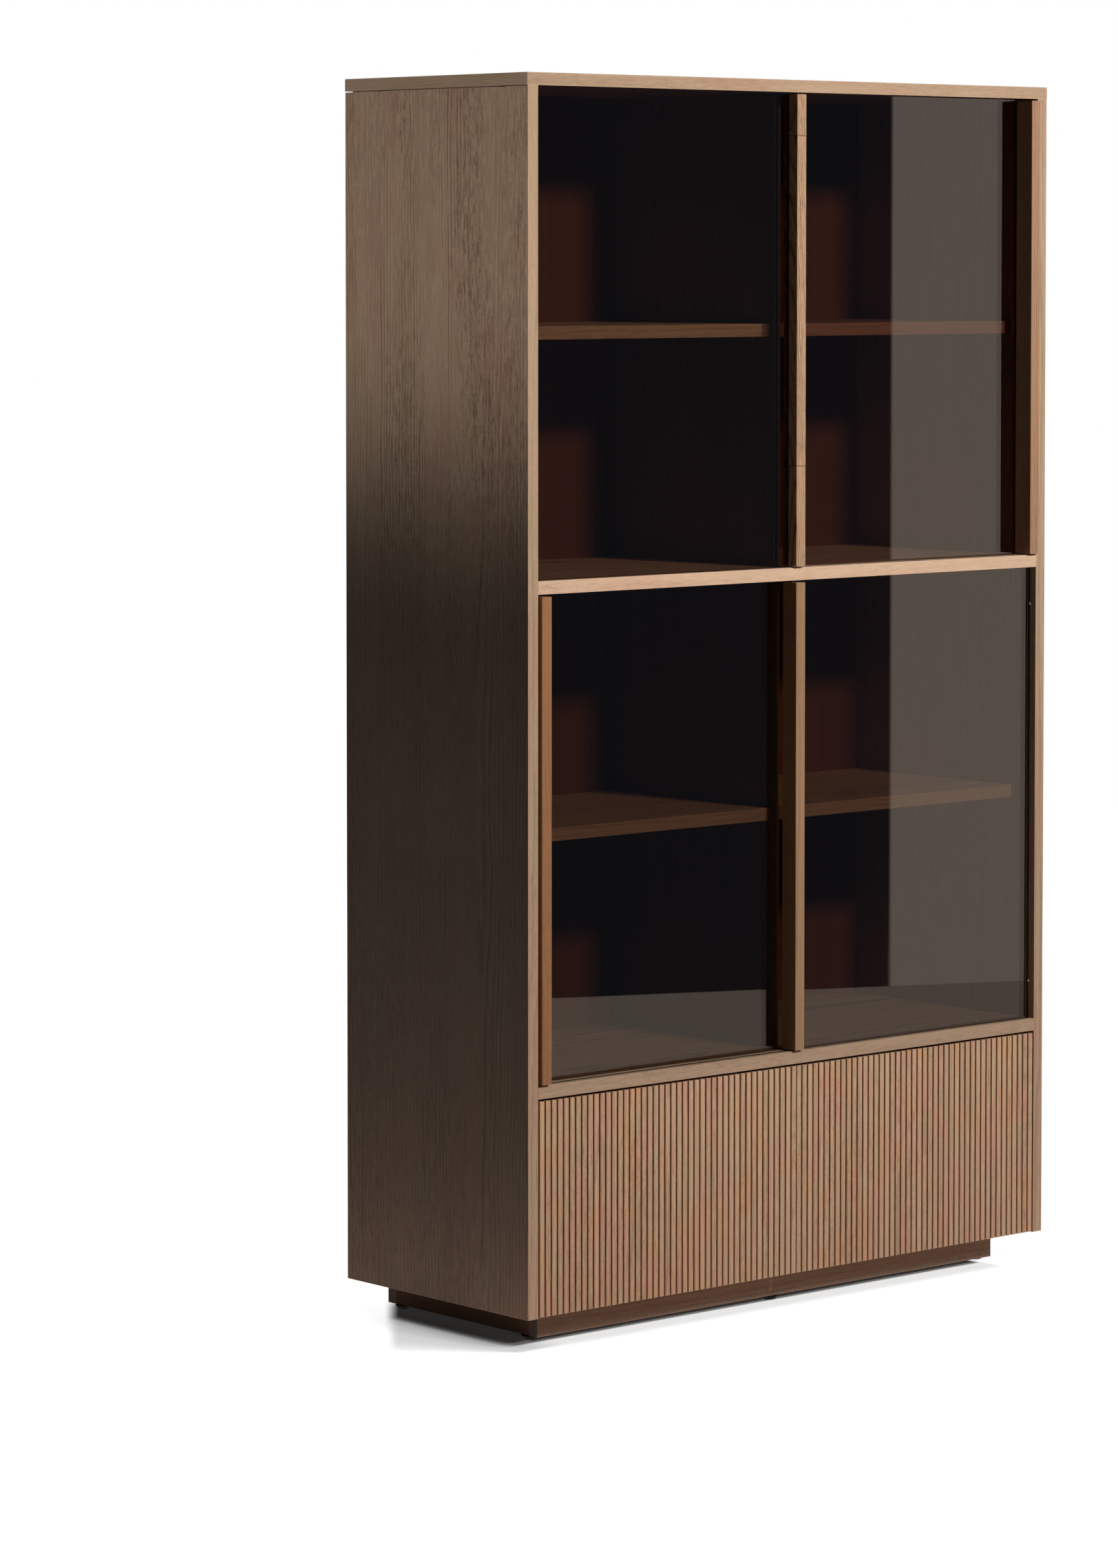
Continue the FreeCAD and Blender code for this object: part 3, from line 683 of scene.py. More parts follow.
@dataclass(frozen=True)
class Plated:
    """Plated or cast metal: fine rolling lines, cloudy patches and a few dull spots."""

    name: str
    colour: Colour
    dull: Colour
    roughness: float = 0.3

    def material(self) -> Material:
        """Make the finish; the rolling lines are noise drawn out from front to back.

        Returns:
            The material.
        """
        material, bench = new_material(self.name)
        place = bench.vector(*bench.place())
        drawn = bench.noise(bench.scaled(1400.0, 12.0, 1400.0))
        clouds = bench.noise(place, 70.0, 4.0)
        spots = bench.noise(place, 420.0, 3.0).step(0.62, 0.75)
        colour = bench.mixed(clouds.step(0.3, 0.7) * 0.5 + spots * 0.4, self.colour, self.dull)
        rough = self.roughness + (drawn - 0.5) * 0.2 + clouds * 0.1 + spots * 0.2
        normal = bench.bump(drawn, 0.00002, 0.5)
        bench.principled({"Base Color": colour, "Metallic": 1.0, "Roughness": rough, "Normal": normal})
        return material


@dataclass(frozen=True)
class PowderCoat:
    """Powder-coated steel: a softly pebbled, satin skin."""

    name: str
    colour: Colour
    worn: Colour

    def material(self) -> Material:
        """Make the finish.

        Returns:
            The material.
        """
        material, bench = new_material(self.name)
        place = bench.vector(*bench.place())
        pebbles = bench.noise(place, 1100.0, 1.0)
        dust = bench.noise(place, 90.0, 4.0)
        colour = bench.mixed(dust.step(0.5, 0.8) * 0.4, self.colour, self.worn)
        normal = bench.bump(pebbles, 0.00008, 0.7)
        bench.principled({"Base Color": colour, "Roughness": 0.42 + dust * 0.15, "Normal": normal})
        return material


# --- meshes from grids ---
def grid_faces(rows: int, columns: int) -> np.ndarray:
    """Number the faces of a grid that closes on itself across its columns.

    Args:
        rows: How many rings of points the grid has.
        columns: How many points each ring has.

    Returns:
        One row of four point numbers for each face: a point, the next one round, and both in the next ring.
    """
    row, column = np.meshgrid(np.arange(rows - 1), np.arange(columns), indexing="ij")
    after = (column + 1) % columns
    first, following = row * columns, (row + 1) * columns
    corners = (first + column, first + after, following + after, following + column)
    return np.stack(corners, axis=-1).reshape(-1, 4)


def many(points: np.ndarray, faces: np.ndarray, shifts: np.ndarray) -> tuple[np.ndarray, np.ndarray]:
    """Repeat a mesh at many places.

    Args:
        points: The points of one copy, one row each.
        faces: The faces of one copy.
        shifts: How far each copy is moved, one row each.

    Returns:
        All points, and all faces numbered on through the copies.
    """
    all_points = (points[None, :, :] + shifts[:, None, :]).reshape(-1, 3)
    starts = np.arange(len(shifts)) * len(points)
    all_faces = (faces[None, :, :] + starts[:, None, None]).reshape(-1, faces.shape[1])
    return all_points, all_faces


def make_piece(name: str, points: np.ndarray, faces: np.ndarray, crease: float = 40.0) -> Piece:
    """Make an object from grids of points, with its poles merged and its faces turned outwards.

    Args:
        name: The piece's name.
        points: Points in the frame, one row each.
        faces: Four point numbers for each face.
        crease: The angle in degrees past which an edge is shown sharp.

    Returns:
        The new object, at the origin.
    """
    mesh = bpy.data.meshes.new(name)
    mesh.from_pydata(points.reshape(-1, 3).tolist(), [], faces.tolist())
    shape = bmesh.new()
    shape.from_mesh(mesh)
    bmesh.ops.remove_doubles(shape, verts=shape.verts, dist=1e-7)
    bmesh.ops.recalc_face_normals(shape, faces=shape.faces)
    shape.to_mesh(mesh)
    shape.free()
    mesh.shade_smooth()
    mesh.set_sharp_from_angle(angle=math.radians(crease))
    piece = bpy.data.objects.new(name, mesh)
    bpy.context.scene.collection.objects.link(piece)
    return piece


def turned(radii: np.ndarray, heights: np.ndarray, columns: int, ribs: int = 0,
           rib_depth: float = 0.0) -> np.ndarray:
    """Turn a profile about Z: a point at angle t has its row's radius, less a rib of 1 - cos(ribs * t).

    Args:
        radii: The profile's radius at each row.
        heights: The profile's height at each row.
        columns: How many points go round.
        ribs: How many flutes the outside has.
        rib_depth: How deep they are, as a share of the radius.

    Returns:
        The points of all rows, one row each.
    """
    turn = np.arange(columns) * (2 * math.pi / columns)
    flutes = 1.0 - rib_depth * (1.0 - np.cos(ribs * turn)) / 2
    across = radii[:, None] * flutes[None, :]
    up = np.broadcast_to(heights[:, None], across.shape)
    return np.stack((across * np.cos(turn), across * np.sin(turn), up), axis=-1).reshape(-1, 3)


def dress(piece: Piece | str, material: Material) -> None:
    """Give one material to a piece.

    Args:
        piece: The piece, or the name of a frame node.
        material: The material.
    """
    if isinstance(piece, str):
        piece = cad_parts[piece]
    if not piece.material_slots:
        piece.data.materials.append(material)
    for slot in piece.material_slots:
        slot.material = material


def stand_in(piece: Piece, node: str, body: str) -> None:
    """Let a piece take the place of a frame node.

    Args:
        piece: The piece.
        node: The frame node that it replaces.
        body: The body that it rides on.
    """
    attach(piece, body)
    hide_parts(node)
    log.info("%s stands for %s on %s", piece.name, node, body)


# --- the finishes of this bookcase ---
def shades(red: int, green: int, blue: int) -> dict[str, Colour]:
    """Work out a stained wood's colours from its mean colour, each as a share of it in every channel.

    Args:
        red: The mean colour's red, from 0 to 255.
        green: Its green.
        blue: Its blue.

    Returns:
        The colours by the name of Ash's field.
    """
    mean = np.array(paint(red, green, blue)[:3])
    shares = {"bright": (1.36, 1.38, 1.42), "light": (1.13, 1.13, 1.14), "middle": (0.87, 0.86, 0.86),
              "dark": (0.52, 0.46, 0.42), "pore": (0.28, 0.23, 0.19)}
    return {name: (*map(float, mean * share), 1.0) for name, share in shares.items()}


CASE_ASH = Ash("case_ash", **shades(176, 148, 121), ring_share=0.7, patchiness=0.35)
SHELF_ASH = Ash("shelf_ash", **shades(211, 177, 148), first_seam=0.0, leaf_width=0.22, patchiness=0.3)
# LOW_SHELF_ASH, INNER_ASH and ROSY_SHELF_ASH are darker copies of the shelf stain: painted shade for the
# shelves low down and in the dimmer cells.
LOW_SHELF_ASH = Ash("low_shelf_ash", **shades(172, 143, 118), first_seam=0.0, leaf_width=0.22)
NARROW = dict(ring_share=0.5, first_seam=0.0, leaf_width=0.2)
INNER_ASH = Ash("inner_ash", **shades(184, 150, 122), **NARROW)
ROSY_SHELF_ASH = Ash("rosy_shelf_ash", **shades(172, 124, 102), **NARROW)
QUIET = dict(ring_share=0.2, fleck_share=0.2, pore_share=0.2, first_seam=0.0, leaf_width=0.18)
# The dividers' darker copy of the inner ash is painted shade: the pulls' shadow on their front edges and the
# dark on their sides.
DIVIDER_ASH = Ash("divider_ash", **shades(120, 98, 79), **QUIET)
# The back panels' dark red-brown is part stain and part painted warm shade of the case's inside; their outer
# face is paler.
BACK_ASH = Backing("back_ash", **shades(112, 68, 46), wear_and_highlight_share=0.0, outer=paint(140, 112, 88), **QUIET)
PLAIN = dict(ring_share=0.3, fleck_share=0.3, first_seam=0.0)
# The plinth's front and back rails carry painted shade along their foot and on their ends.
PLINTH_ASH = Ash("plinth_ash", **shades(182, 146, 120), **PLAIN, painted_shade_share=0.66, gloss=0.15)
# The plinth's side and cross rails take a darker copy of the plinth ash: painted shade, as they stand in the
# dark under the case.
PLINTH_SIDE_ASH = Ash("plinth_side_ash", **shades(134, 113, 96), **PLAIN, gloss=0.0)
SMOOTH = dict(ring_pitch=0.004, ring_share=0.35, fleck_share=0.3, leaf_width=0.2, first_seam=0.0)
PULL_ASH = {
    "upper_left_door": Ash("jointed_pull_ash", **shades(176, 141, 111), ring_pitch=0.0042, ring_share=0.8,
                           tilt=0.0, lean=0.068, pith_depth=0.09, least_zone=0.9, leaf_width=0.2,
                           first_seam=0.1, joints=(1.306, 1.8144)),
    "upper_right_door": Ash("rosy_pull_ash", **shades(166, 127, 99), **SMOOTH),
    "lower_left_door": Ash("orange_pull_ash", **shades(151, 105, 71), **SMOOTH),
    "lower_right_door": Ash("brown_pull_ash", **shades(157, 121, 90), **SMOOTH),
}
SLAT_ASH = Slatted("slat_ash", **shades(192, 159, 127), ring_share=0.35, fleck_share=0.5, wear_and_highlight_share=0.0,
                   leaf_width=0.06, rosy=paint(204, 149, 128), orange=paint(206, 154, 111))
GROOVE_ASH = Ash("groove_ash", **shades(92, 54, 30), first_seam=0.0, wear_and_highlight_share=0.0, gloss=0.05)
BIRCH_PLY = Plywood("birch_ply", face=paint(214, 186, 148), shade=paint(196, 166, 126),
                    line=paint(140, 104, 70), wall_spans=((0.0227, 0.0347), (0.5043, 0.5163)))
PANE = SmokedGlass("smoked_pane", tint=(0.64, 0.585, 0.53, 1.0), shine=(0.9, 0.79, 0.7, 1.0),
                   edge=paint(70, 60, 52))
TRACK_PLASTIC = Moulded("track_plastic", paint(58, 44, 34), paint(74, 60, 50), 0.45)
GLIDE_PLASTIC = Moulded("glide_plastic", paint(214, 212, 204), paint(186, 182, 172), 0.4)
FOOT_PLASTIC = Moulded("foot_plastic", paint(16, 15, 15), paint(30, 28, 27), 0.7, gloss=0.1)
BUMPER_GEL = Moulded("bumper_gel", paint(196, 192, 184), paint(168, 162, 152), 0.25, texture=300.0)
BRIGHT_STEEL = Plated("bright_steel", paint(206, 205, 200), paint(160, 158, 152), 0.25)
RUNNER_STEEL = Plated("runner_steel", paint(198, 199, 201), paint(150, 152, 155), 0.3)
CAST_ZINC = Plated("cast_zinc", paint(186, 187, 190), paint(140, 141, 144), 0.42)
BRACKET_COAT = PowderCoat("bracket_coat", paint(58, 46, 38), paint(92, 80, 70))


# --- the case and its plinth ---
@dataclass
class Case:
    """The boards, tracks and fittings that stay where they are."""

    first_seed: float = 1.7
    boards: dict[str, tuple[Ash, Fibres]] = field(default_factory=lambda: {
        "left_side_panel": (CASE_ASH, Fibres.UPRIGHT), "left_back_panel": (BACK_ASH, Fibres.UPRIGHT),
        "upper_left_shelf": (SHELF_ASH, Fibres.ACROSS), "lower_left_shelf": (INNER_ASH, Fibres.ACROSS),
        "right_side_panel": (CASE_ASH, Fibres.UPRIGHT), "right_back_panel": (BACK_ASH, Fibres.UPRIGHT),
        "upper_right_shelf": (ROSY_SHELF_ASH, Fibres.ACROSS), "lower_right_shelf": (INNER_ASH, Fibres.ACROSS),
        "upper_divider": (DIVIDER_ASH, Fibres.UPRIGHT), "lower_divider": (DIVIDER_ASH, Fibres.UPRIGHT),
        "drawer_divider": (DIVIDER_ASH, Fibres.UPRIGHT), "top_panel": (CASE_ASH, Fibres.ACROSS),
        "middle_fixed_shelf": (SHELF_ASH, Fibres.ACROSS), "lower_fixed_shelf": (LOW_SHELF_ASH, Fibres.ACROSS),
        "bottom_panel": (LOW_SHELF_ASH, Fibres.ACROSS), "plinth_front_rail": (PLINTH_ASH, Fibres.ACROSS),
        "plinth_back_rail": (PLINTH_ASH, Fibres.ACROSS), "plinth_side_rails": (PLINTH_SIDE_ASH, Fibres.DEEP),
        "plinth_cross_rail": (PLINTH_SIDE_ASH, Fibres.DEEP)})

    def dress(self) -> None:
        """Give each board its own grain, by its number in the list, and each fitting its finish."""
        inner_sides = {"left_side_panel": 1, "right_side_panel": -1}
        for number, (node, (finish, fibres)) in enumerate(self.boards.items()):
            board = Board.of_node(node, fibres, inner_sides.get(node, 0))
            dress(node, finish.material(board, self.first_seed + number))
        fittings = {
            "top_track_channels": TRACK_PLASTIC, "bottom_track_channels": TRACK_PLASTIC,
            "shelf_pins": BRIGHT_STEEL, "cam_locks": CAST_ZINC, "cam_bolts": BRIGHT_STEEL,
            "foot_inserts": BRIGHT_STEEL, "wall_brackets": BRACKET_COAT, "runner_outer_members": RUNNER_STEEL,
            "wood_dowels": BIRCH_PLY,
        }
        for node, finish in fittings.items():
            dress(node, finish.material())
        log.info("case: %d boards, %d fittings", len(self.boards), len(fittings))


@dataclass
class ScrewSet:
    """Pan-head wood screws through the back panels and the wall brackets.

    The fall, the rim and the slot's depth are shares of the head's height, the slot's half width and reach
    are shares of its radius, and the point is a share of the length.
    """

    head_radius: float = 0.0035
    head_height: float = 0.002
    fall: float = 0.55
    rim: float = 0.35
    slot_width: float = 0.13
    slot_reach: float = 0.5
    slot_depth: float = 0.55
    shank: float = 0.0013
    thread: float = 0.00042
    pitch: float = 0.0016
    length: float = 0.019
    point: float = 0.18
    shaft_rows: int = 42
    columns: int = 20
    back_x: tuple[float, ...] = (0.06, 0.265, 0.47)
    bracket_step: float = 0.012
    bracket_sheet: float = 0.0025
    bracket_foot: float = 0.018

    def head(self) -> tuple[np.ndarray, np.ndarray]:
        """Make the head, up along Z.

        It is a dome that falls with the square of the radius, less a cross where the smaller of |x| and |y|
        is under the slot's half width.

        Returns:
            The points and the faces.
        """
        shares = np.array([0.0, 0.12, 0.22, 0.34, 0.46, 0.56, 0.7, 0.84, 0.94, 1.0, 1.0, 0.5])
        radii = shares * self.head_radius
        turn = np.arange(self.columns) * (2 * math.pi / self.columns)
        x = radii[:, None] * np.cos(turn)
        y = radii[:, None] * np.sin(turn)
        dome = self.head_height * (1.0 - self.fall * (radii / self.head_radius) ** 2)
        dome[-3:] = (self.rim * self.head_height, 0.0, 0.0)
        arm = np.minimum(abs(x), abs(y)) < self.slot_width * self.head_radius
        slot = arm & (np.maximum(abs(x), abs(y)) < self.slot_reach * self.head_radius)
        up = dome[:, None] - np.where(slot, self.slot_depth * self.head_height, 0.0)
        return np.stack((x, y, up), axis=-1).reshape(-1, 3), grid_faces(len(radii), self.columns)

    def shaft(self) -> tuple[np.ndarray, np.ndarray]:
        """Make the shaft, down along Z.

        The radius is the shank's, plus the thread where z / pitch - t / 2 pi is near the middle between two
        whole numbers, and it tapers to the point.

        Returns:
            The points and the faces.
        """
        depth = np.linspace(0.0, 1.0, self.shaft_rows)
        turn = np.arange(self.columns // 2) * (4 * math.pi / self.columns)
        phase = (depth[:, None] * self.length / self.pitch - turn[None, :] / (2 * math.pi)) % 1.0
        ridge = np.clip(1.0 - 4.0 * abs(phase - 0.5), 0.0, 1.0)
        taper = np.clip((1.0 - depth) / self.point, 0.0, 1.0)[:, None]
        radius = (self.shank + self.thread * ridge) * taper
        down = np.broadcast_to(-depth[:, None] * self.length, radius.shape)
        points = np.stack((radius * np.cos(turn), radius * np.sin(turn), down), axis=-1)
        return points.reshape(-1, 3), grid_faces(self.shaft_rows, self.columns // 2)

    def places(self) -> tuple[np.ndarray, np.ndarray]:
        """Where the heads sit: on the back panels, and under the wall brackets.

        Returns:
            Places on the back, and places under the brackets, one row each.
        """
        back_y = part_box("left_back_panel")[1].y
        levels = [sum(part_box(board)[end].z for end in (0, 1)) / 2
                  for board in ("bottom_panel", "lower_fixed_shelf", "middle_fixed_shelf")]
        back = np.array([(side * x, back_y, z) for side in (-1, 1) for x in self.back_x for z in levels])
        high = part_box("wall_brackets")[1]
        y, z = high.y - self.bracket_foot, high.z - self.bracket_sheet
        under = np.array([(side * self.back_x[1] + step, y, z)
                          for side in (-1, 1) for step in (-self.bracket_step, self.bracket_step)])
        return back, under

    def build(self) -> None:
        """Make all screws as one piece in place of the frame's plain ones."""
        (head, head_faces), (shaft, shaft_faces) = self.head(), self.shaft()
        points = np.concatenate((head, shaft))
        faces = np.concatenate((head_faces, shaft_faces + len(head)))
        back, under = self.places()
        out_of_back = points[:, (0, 2, 1)] * (-1.0, 1.0, 1.0)
        out_of_top = points * (1.0, -1.0, -1.0)
        first, first_faces = many(out_of_back, faces, back)
        second, second_faces = many(out_of_top, faces, under)
        piece = make_piece("case_screw_set", np.concatenate((first, second)),
                           np.concatenate((first_faces, second_faces + len(first))), crease=30.0)
        dress(piece, BRIGHT_STEEL.material())
        stand_in(piece, "case_screws", "case")


@dataclass
class BumperSet:
    """Clear domes on the side panels that soften a door's closing."""

    rows: int = 7
    columns: int = 20
    apart: float = 0.1

    def build(self) -> None:
        """Make a dome for each plain disc: radius R cos(a), height H sin(a), for a from the rim to the top.

        The discs of one track stand further apart than the class says, so each has a level of its own.
        """
        low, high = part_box("door_bumpers")
        corners = np.array([vertex.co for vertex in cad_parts["door_bumpers"].data.vertices])
        points, faces = [], []
        for side in (-1, 1):
            face_x = low.x if side < 0 else high.x
            mine = corners[corners[:, 0] * side > 0]
            for track_y, stack in self.discs(mine):
                reach = abs(stack[:, 0] - face_x).max()
                radius = np.ptp(stack[:, 1]) / 2
                angle = np.linspace(0.0, math.pi / 2, self.rows)
                radii, heights = np.append(0.0, radius * np.cos(angle)), np.append(0.0, reach * np.sin(angle))
                dome = turned(radii, heights, self.columns)
                levels = stack[:, 2] / self.apart
                for level in sorted(set(np.round(levels).astype(int))):
                    near = stack[abs(levels - level) < 0.5]
                    middle = (near[:, 2].min() + near[:, 2].max()) / 2
                    placed = dome[:, (2, 1, 0)] * (-side, 1.0, 1.0) + (face_x, track_y, middle)
                    faces.append(grid_faces(self.rows + 1, self.columns) + sum(map(len, points)))
                    points.append(placed)
        piece = make_piece("door_bumper_domes", np.concatenate(points), np.concatenate(faces))
        dress(piece, BUMPER_GEL.material())
        stand_in(piece, "door_bumpers", "case")

    @staticmethod
    def discs(corners: np.ndarray) -> list[tuple[float, np.ndarray]]:
        """Split one side's discs by the track that they lie in.

        Args:
            corners: The corners of all discs on that side, one row each.

        Returns:
            The middle Y and the corners of each track's discs.
        """
        middle = (corners[:, 1].min() + corners[:, 1].max()) / 2
        groups = (corners[corners[:, 1] < middle], corners[corners[:, 1] >= middle])
        return [((group[:, 1].min() + group[:, 1].max()) / 2, group) for group in groups if len(group)]


@dataclass
class Foot:
    """A levelling foot: a fluted base that narrows to the floor, on a threaded stem."""

    name: str
    base_radius: float = 0.011
    top_radius: float = 0.014
    base_height: float = 0.0057
    lip: float = 0.0006
    stem: float = 0.0028
    stem_top: float = 0.028
    thread: float = 0.0002
    stem_rows: int = 40
    stem_columns: int = 16
    flutes: int = 18
    flute_depth: float = 0.03
    columns: int = 72

    def build(self) -> None:
        """Make the foot in place of the frame's plain one."""
        low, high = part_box(self.name)
        middle = ((low.x + high.x) / 2, (low.y + high.y) / 2, 0.0)
        lip = self.lip
        radii = np.array([0.0, self.base_radius - lip, self.base_radius, self.top_radius - lip,
                          self.top_radius, self.top_radius, self.top_radius - lip, 0.008, 0.0075, 0.0])
        heights = np.array([0.0, 0.0, lip, self.base_height - 2.4 * lip, self.base_height - 1.8 * lip,
                            self.base_height - lip, self.base_height, self.base_height, 0.0062, 0.0062])
        base = turned(radii, heights, self.columns, self.flutes, self.flute_depth)
        rise = np.linspace(0.004, self.stem_top, self.stem_rows)
        ridges = self.stem + self.thread * np.cos(np.arange(self.stem_rows) * math.pi)
        stem = turned(np.concatenate(([0.0], ridges, [0.0])), np.concatenate((rise[:1], rise, rise[-1:])),
                      self.stem_columns)
        points = np.concatenate((base, stem)) + middle
        stem_faces = grid_faces(self.stem_rows + 2, self.stem_columns) + len(base)
        faces = np.concatenate((grid_faces(len(radii), self.columns), stem_faces))
        piece = make_piece(self.name + "_turned", points, faces, crease=35.0)
        dress(piece, FOOT_PLASTIC.material())
        stand_in(piece, self.name, self.name)


# --- doors ---
@dataclass
class Door:
    """A sliding door: a smoked pane, a full-height wooden pull and two glides."""

    name: str
    seed: float

    def dress(self) -> None:
        """Give the door's pieces their finishes."""
        pull = self.name + "_pull"
        board = Board.of_node(pull, Fibres.UPRIGHT, calm_edges=0.0)
        dress(pull, PULL_ASH[self.name].material(board, self.seed))
        dress(self.name + "_glass", PANE.material())
        dress(self.name + "_glides", GLIDE_PLASTIC.material())
        log.info("%s dressed", self.name)


# --- drawers ---
@dataclass
class Drawer:
    """A drawer with a slatted front, a plywood box, and ball-bearing runners."""

    side: str
    slat_seed: float
    slats: int = 44
    slat_gap: float = 0.003
    slat_ease: float = 0.0004
    rounding: float = 0.0006
    crown: float = 0.00004
    ball: float = 0.0011
    balls_in_row: int = 16
    ball_columns: int = 10
    race_gap: float = 0.0023
    race_width: float = 0.0082
    race_end: float = 0.01
    sheet: float = 0.0012
    front_seed: float = 80.0

    @property
    def body(self) -> str:
        """The drawer's body in the frame."""
        return self.side + "_drawer"

    def slat_profile(self, width: float, depth: float) -> np.ndarray:
        """The outline of a slat seen from above: square at the back, and at the front two quarter rounds of
        angle a joined by a crown that falls with the square of the distance from the middle.

        Args:
            width: The slat's width.
            depth: The slat's depth, front to back.

        Returns:
            The outline's x and y, one row for each point, with the front's middle at y = 0.
        """
        half = width / 2
        angle = np.linspace(0.0, math.pi / 2, 5)
        round_x = half - self.rounding + self.rounding * np.cos(angle)
        round_y = self.rounding - self.rounding * np.sin(angle)
        face_x = np.linspace(half - self.rounding, -half + self.rounding, 5)[1:-1]
        front_x = np.concatenate((round_x, face_x, -round_x[::-1]))
        front_y = np.concatenate((round_y, face_x * 0.0, round_y[::-1])) + self.crown * (front_x / half) ** 2
        x = np.concatenate(([half], front_x, [-half]))
        y = np.concatenate(([depth], front_y, [depth]))
        return np.stack((x, y), axis=-1)

    def build_slats(self) -> None:
        """Make the slats: the outline carried up Z, drawn in a little at both ends."""
        node = self.body + "_slats"
        low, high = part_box(node)
        pitch = (high.x - low.x + self.slat_gap) / self.slats
        width = pitch - self.slat_gap
        outline = self.slat_profile(width, high.y - low.y)
        ease = self.slat_ease
        levels = np.array([low.z, low.z, low.z + ease, high.z - ease, high.z, high.z])
        draw_in = np.array([0.0, 1.0 - 2 * ease / width, 1.0, 1.0, 1.0 - 2 * ease / width, 0.0])
        middle = np.array([0.0, (high.y - low.y) / 2])
        ring = middle + (outline - middle) * draw_in[:, None, None]
        up = np.broadcast_to(levels[:, None], ring.shape[:2])
        one = np.concatenate((ring, up[:, :, None]), axis=-1).reshape(-1, 3)
        starts = low.x + width / 2 + np.arange(self.slats) * pitch
        shifts = np.stack((starts, np.full(self.slats, low.y), np.zeros(self.slats)), axis=-1)
        points, faces = many(one, grid_faces(len(levels), len(outline)), shifts)
        piece = make_piece(self.body + "_front_slats", points, faces)
        number = np.floor((np.array([vertex.co.x for vertex in piece.data.vertices]) - low.x) / pitch)
        strip = piece.data.attributes.new("strip", "FLOAT", "POINT")
        strip.data.foreach_set("value", number.astype(np.float32))
        board = Board(tuple(low), tuple(high), Fibres.UPRIGHT)
        dress(piece, SLAT_ASH.material(board, self.slat_seed))
        stand_in(piece, node, self.body)

    def build_balls(self) -> None:
        """Make the runners' balls, two rows above and two below each middle member.

        The rows in the outer members lie in the rear half, and the rows round the inner members in the front
        half, so that they stay in their races when the drawer is out.
        """
        node = self.body + "_runner_middles"
        low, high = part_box(node)
        corners = np.array([vertex.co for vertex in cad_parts[node].data.vertices])
        angle = np.linspace(0.0, math.pi, 7)
        one = turned(self.ball * np.sin(angle), -self.ball * np.cos(angle), self.ball_columns)
        length = high.y - low.y
        rear = np.linspace(low.y + 0.46 * length, high.y - self.race_end, self.balls_in_row)
        front = np.linspace(low.y + self.race_end, low.y + 0.54 * length, self.balls_in_row)
        shifts = []
        for web_x, inward in self.webs(corners):
            x = web_x + inward * self.race_width / 2
            for up, edge in ((-1, low.z), (1, high.z)):
                outer = edge + up * self.race_gap / 2
                inner = edge - up * (self.sheet + self.race_gap / 2)
                for row_x, row_y, row_z in ((x, rear, outer), (x + inward * 0.001, front, inner)):
                    shifts.append([(row_x, y, row_z) for y in row_y])
        points, faces = many(one, grid_faces(len(angle), self.ball_columns), np.concatenate(shifts))
        piece = make_piece(self.side + "_runner_balls", points, faces)
        dress(piece, BRIGHT_STEEL.material())
        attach(piece, self.side + "_runner_middle")
        log.info("%s: %d balls", piece.name, sum(map(len, shifts)))

    @staticmethod
    def webs(corners: np.ndarray) -> list[tuple[float, int]]:
        """Where the webs of the two middle members stand, and which way each member opens."""
        return [(float(corners[:, 0].min()), 1), (float(corners[:, 0].max()), -1)]

    def dress(self) -> None:
        """Give the drawer's frame nodes their finishes."""
        front = self.body + "_front_board"
        board = Board.of_node(front, Fibres.ACROSS)
        dress(front, GROOVE_ASH.material(board, self.front_seed))
        for node in ("_box_walls", "_floor"):
            dress(self.body + node, BIRCH_PLY.material())
        for node in ("_runner_inners", "_runner_middles"):
            dress(self.body + node, RUNNER_STEEL.material())
        log.info("%s dressed", self.body)


# --- studio ---
@dataclass(frozen=True)
class Lamp:
    """A soft rectangular lamp. Its level is how bright it makes a white surface at its target, facing it."""

    name: str
    place: Place
    target: Place
    size: Span
    level: float
    colour: Place = (1.0, 1.0, 1.0)
    spread: float = 180.0

    def build(self) -> None:
        """Make the lamp, hidden from mirrors, which show the studio instead."""
        light = bpy.data.lights.new(self.name, "AREA")
        light.shape = "RECTANGLE"
        light.size, light.size_y = self.size
        light.color = self.colour
        light.spread = math.radians(self.spread)
        way = Vector(self.target) - Vector(self.place)
        light.energy = self.level * math.pi ** 2 * way.length_squared
        lamp = bpy.data.objects.new(self.name, light)
        lamp.location = self.place
        lamp.rotation_euler = way.to_track_quat("-Z", "Y").to_euler()
        lamp.visible_glossy = False
        lamp.visible_camera = False
        bpy.context.scene.collection.objects.link(lamp)


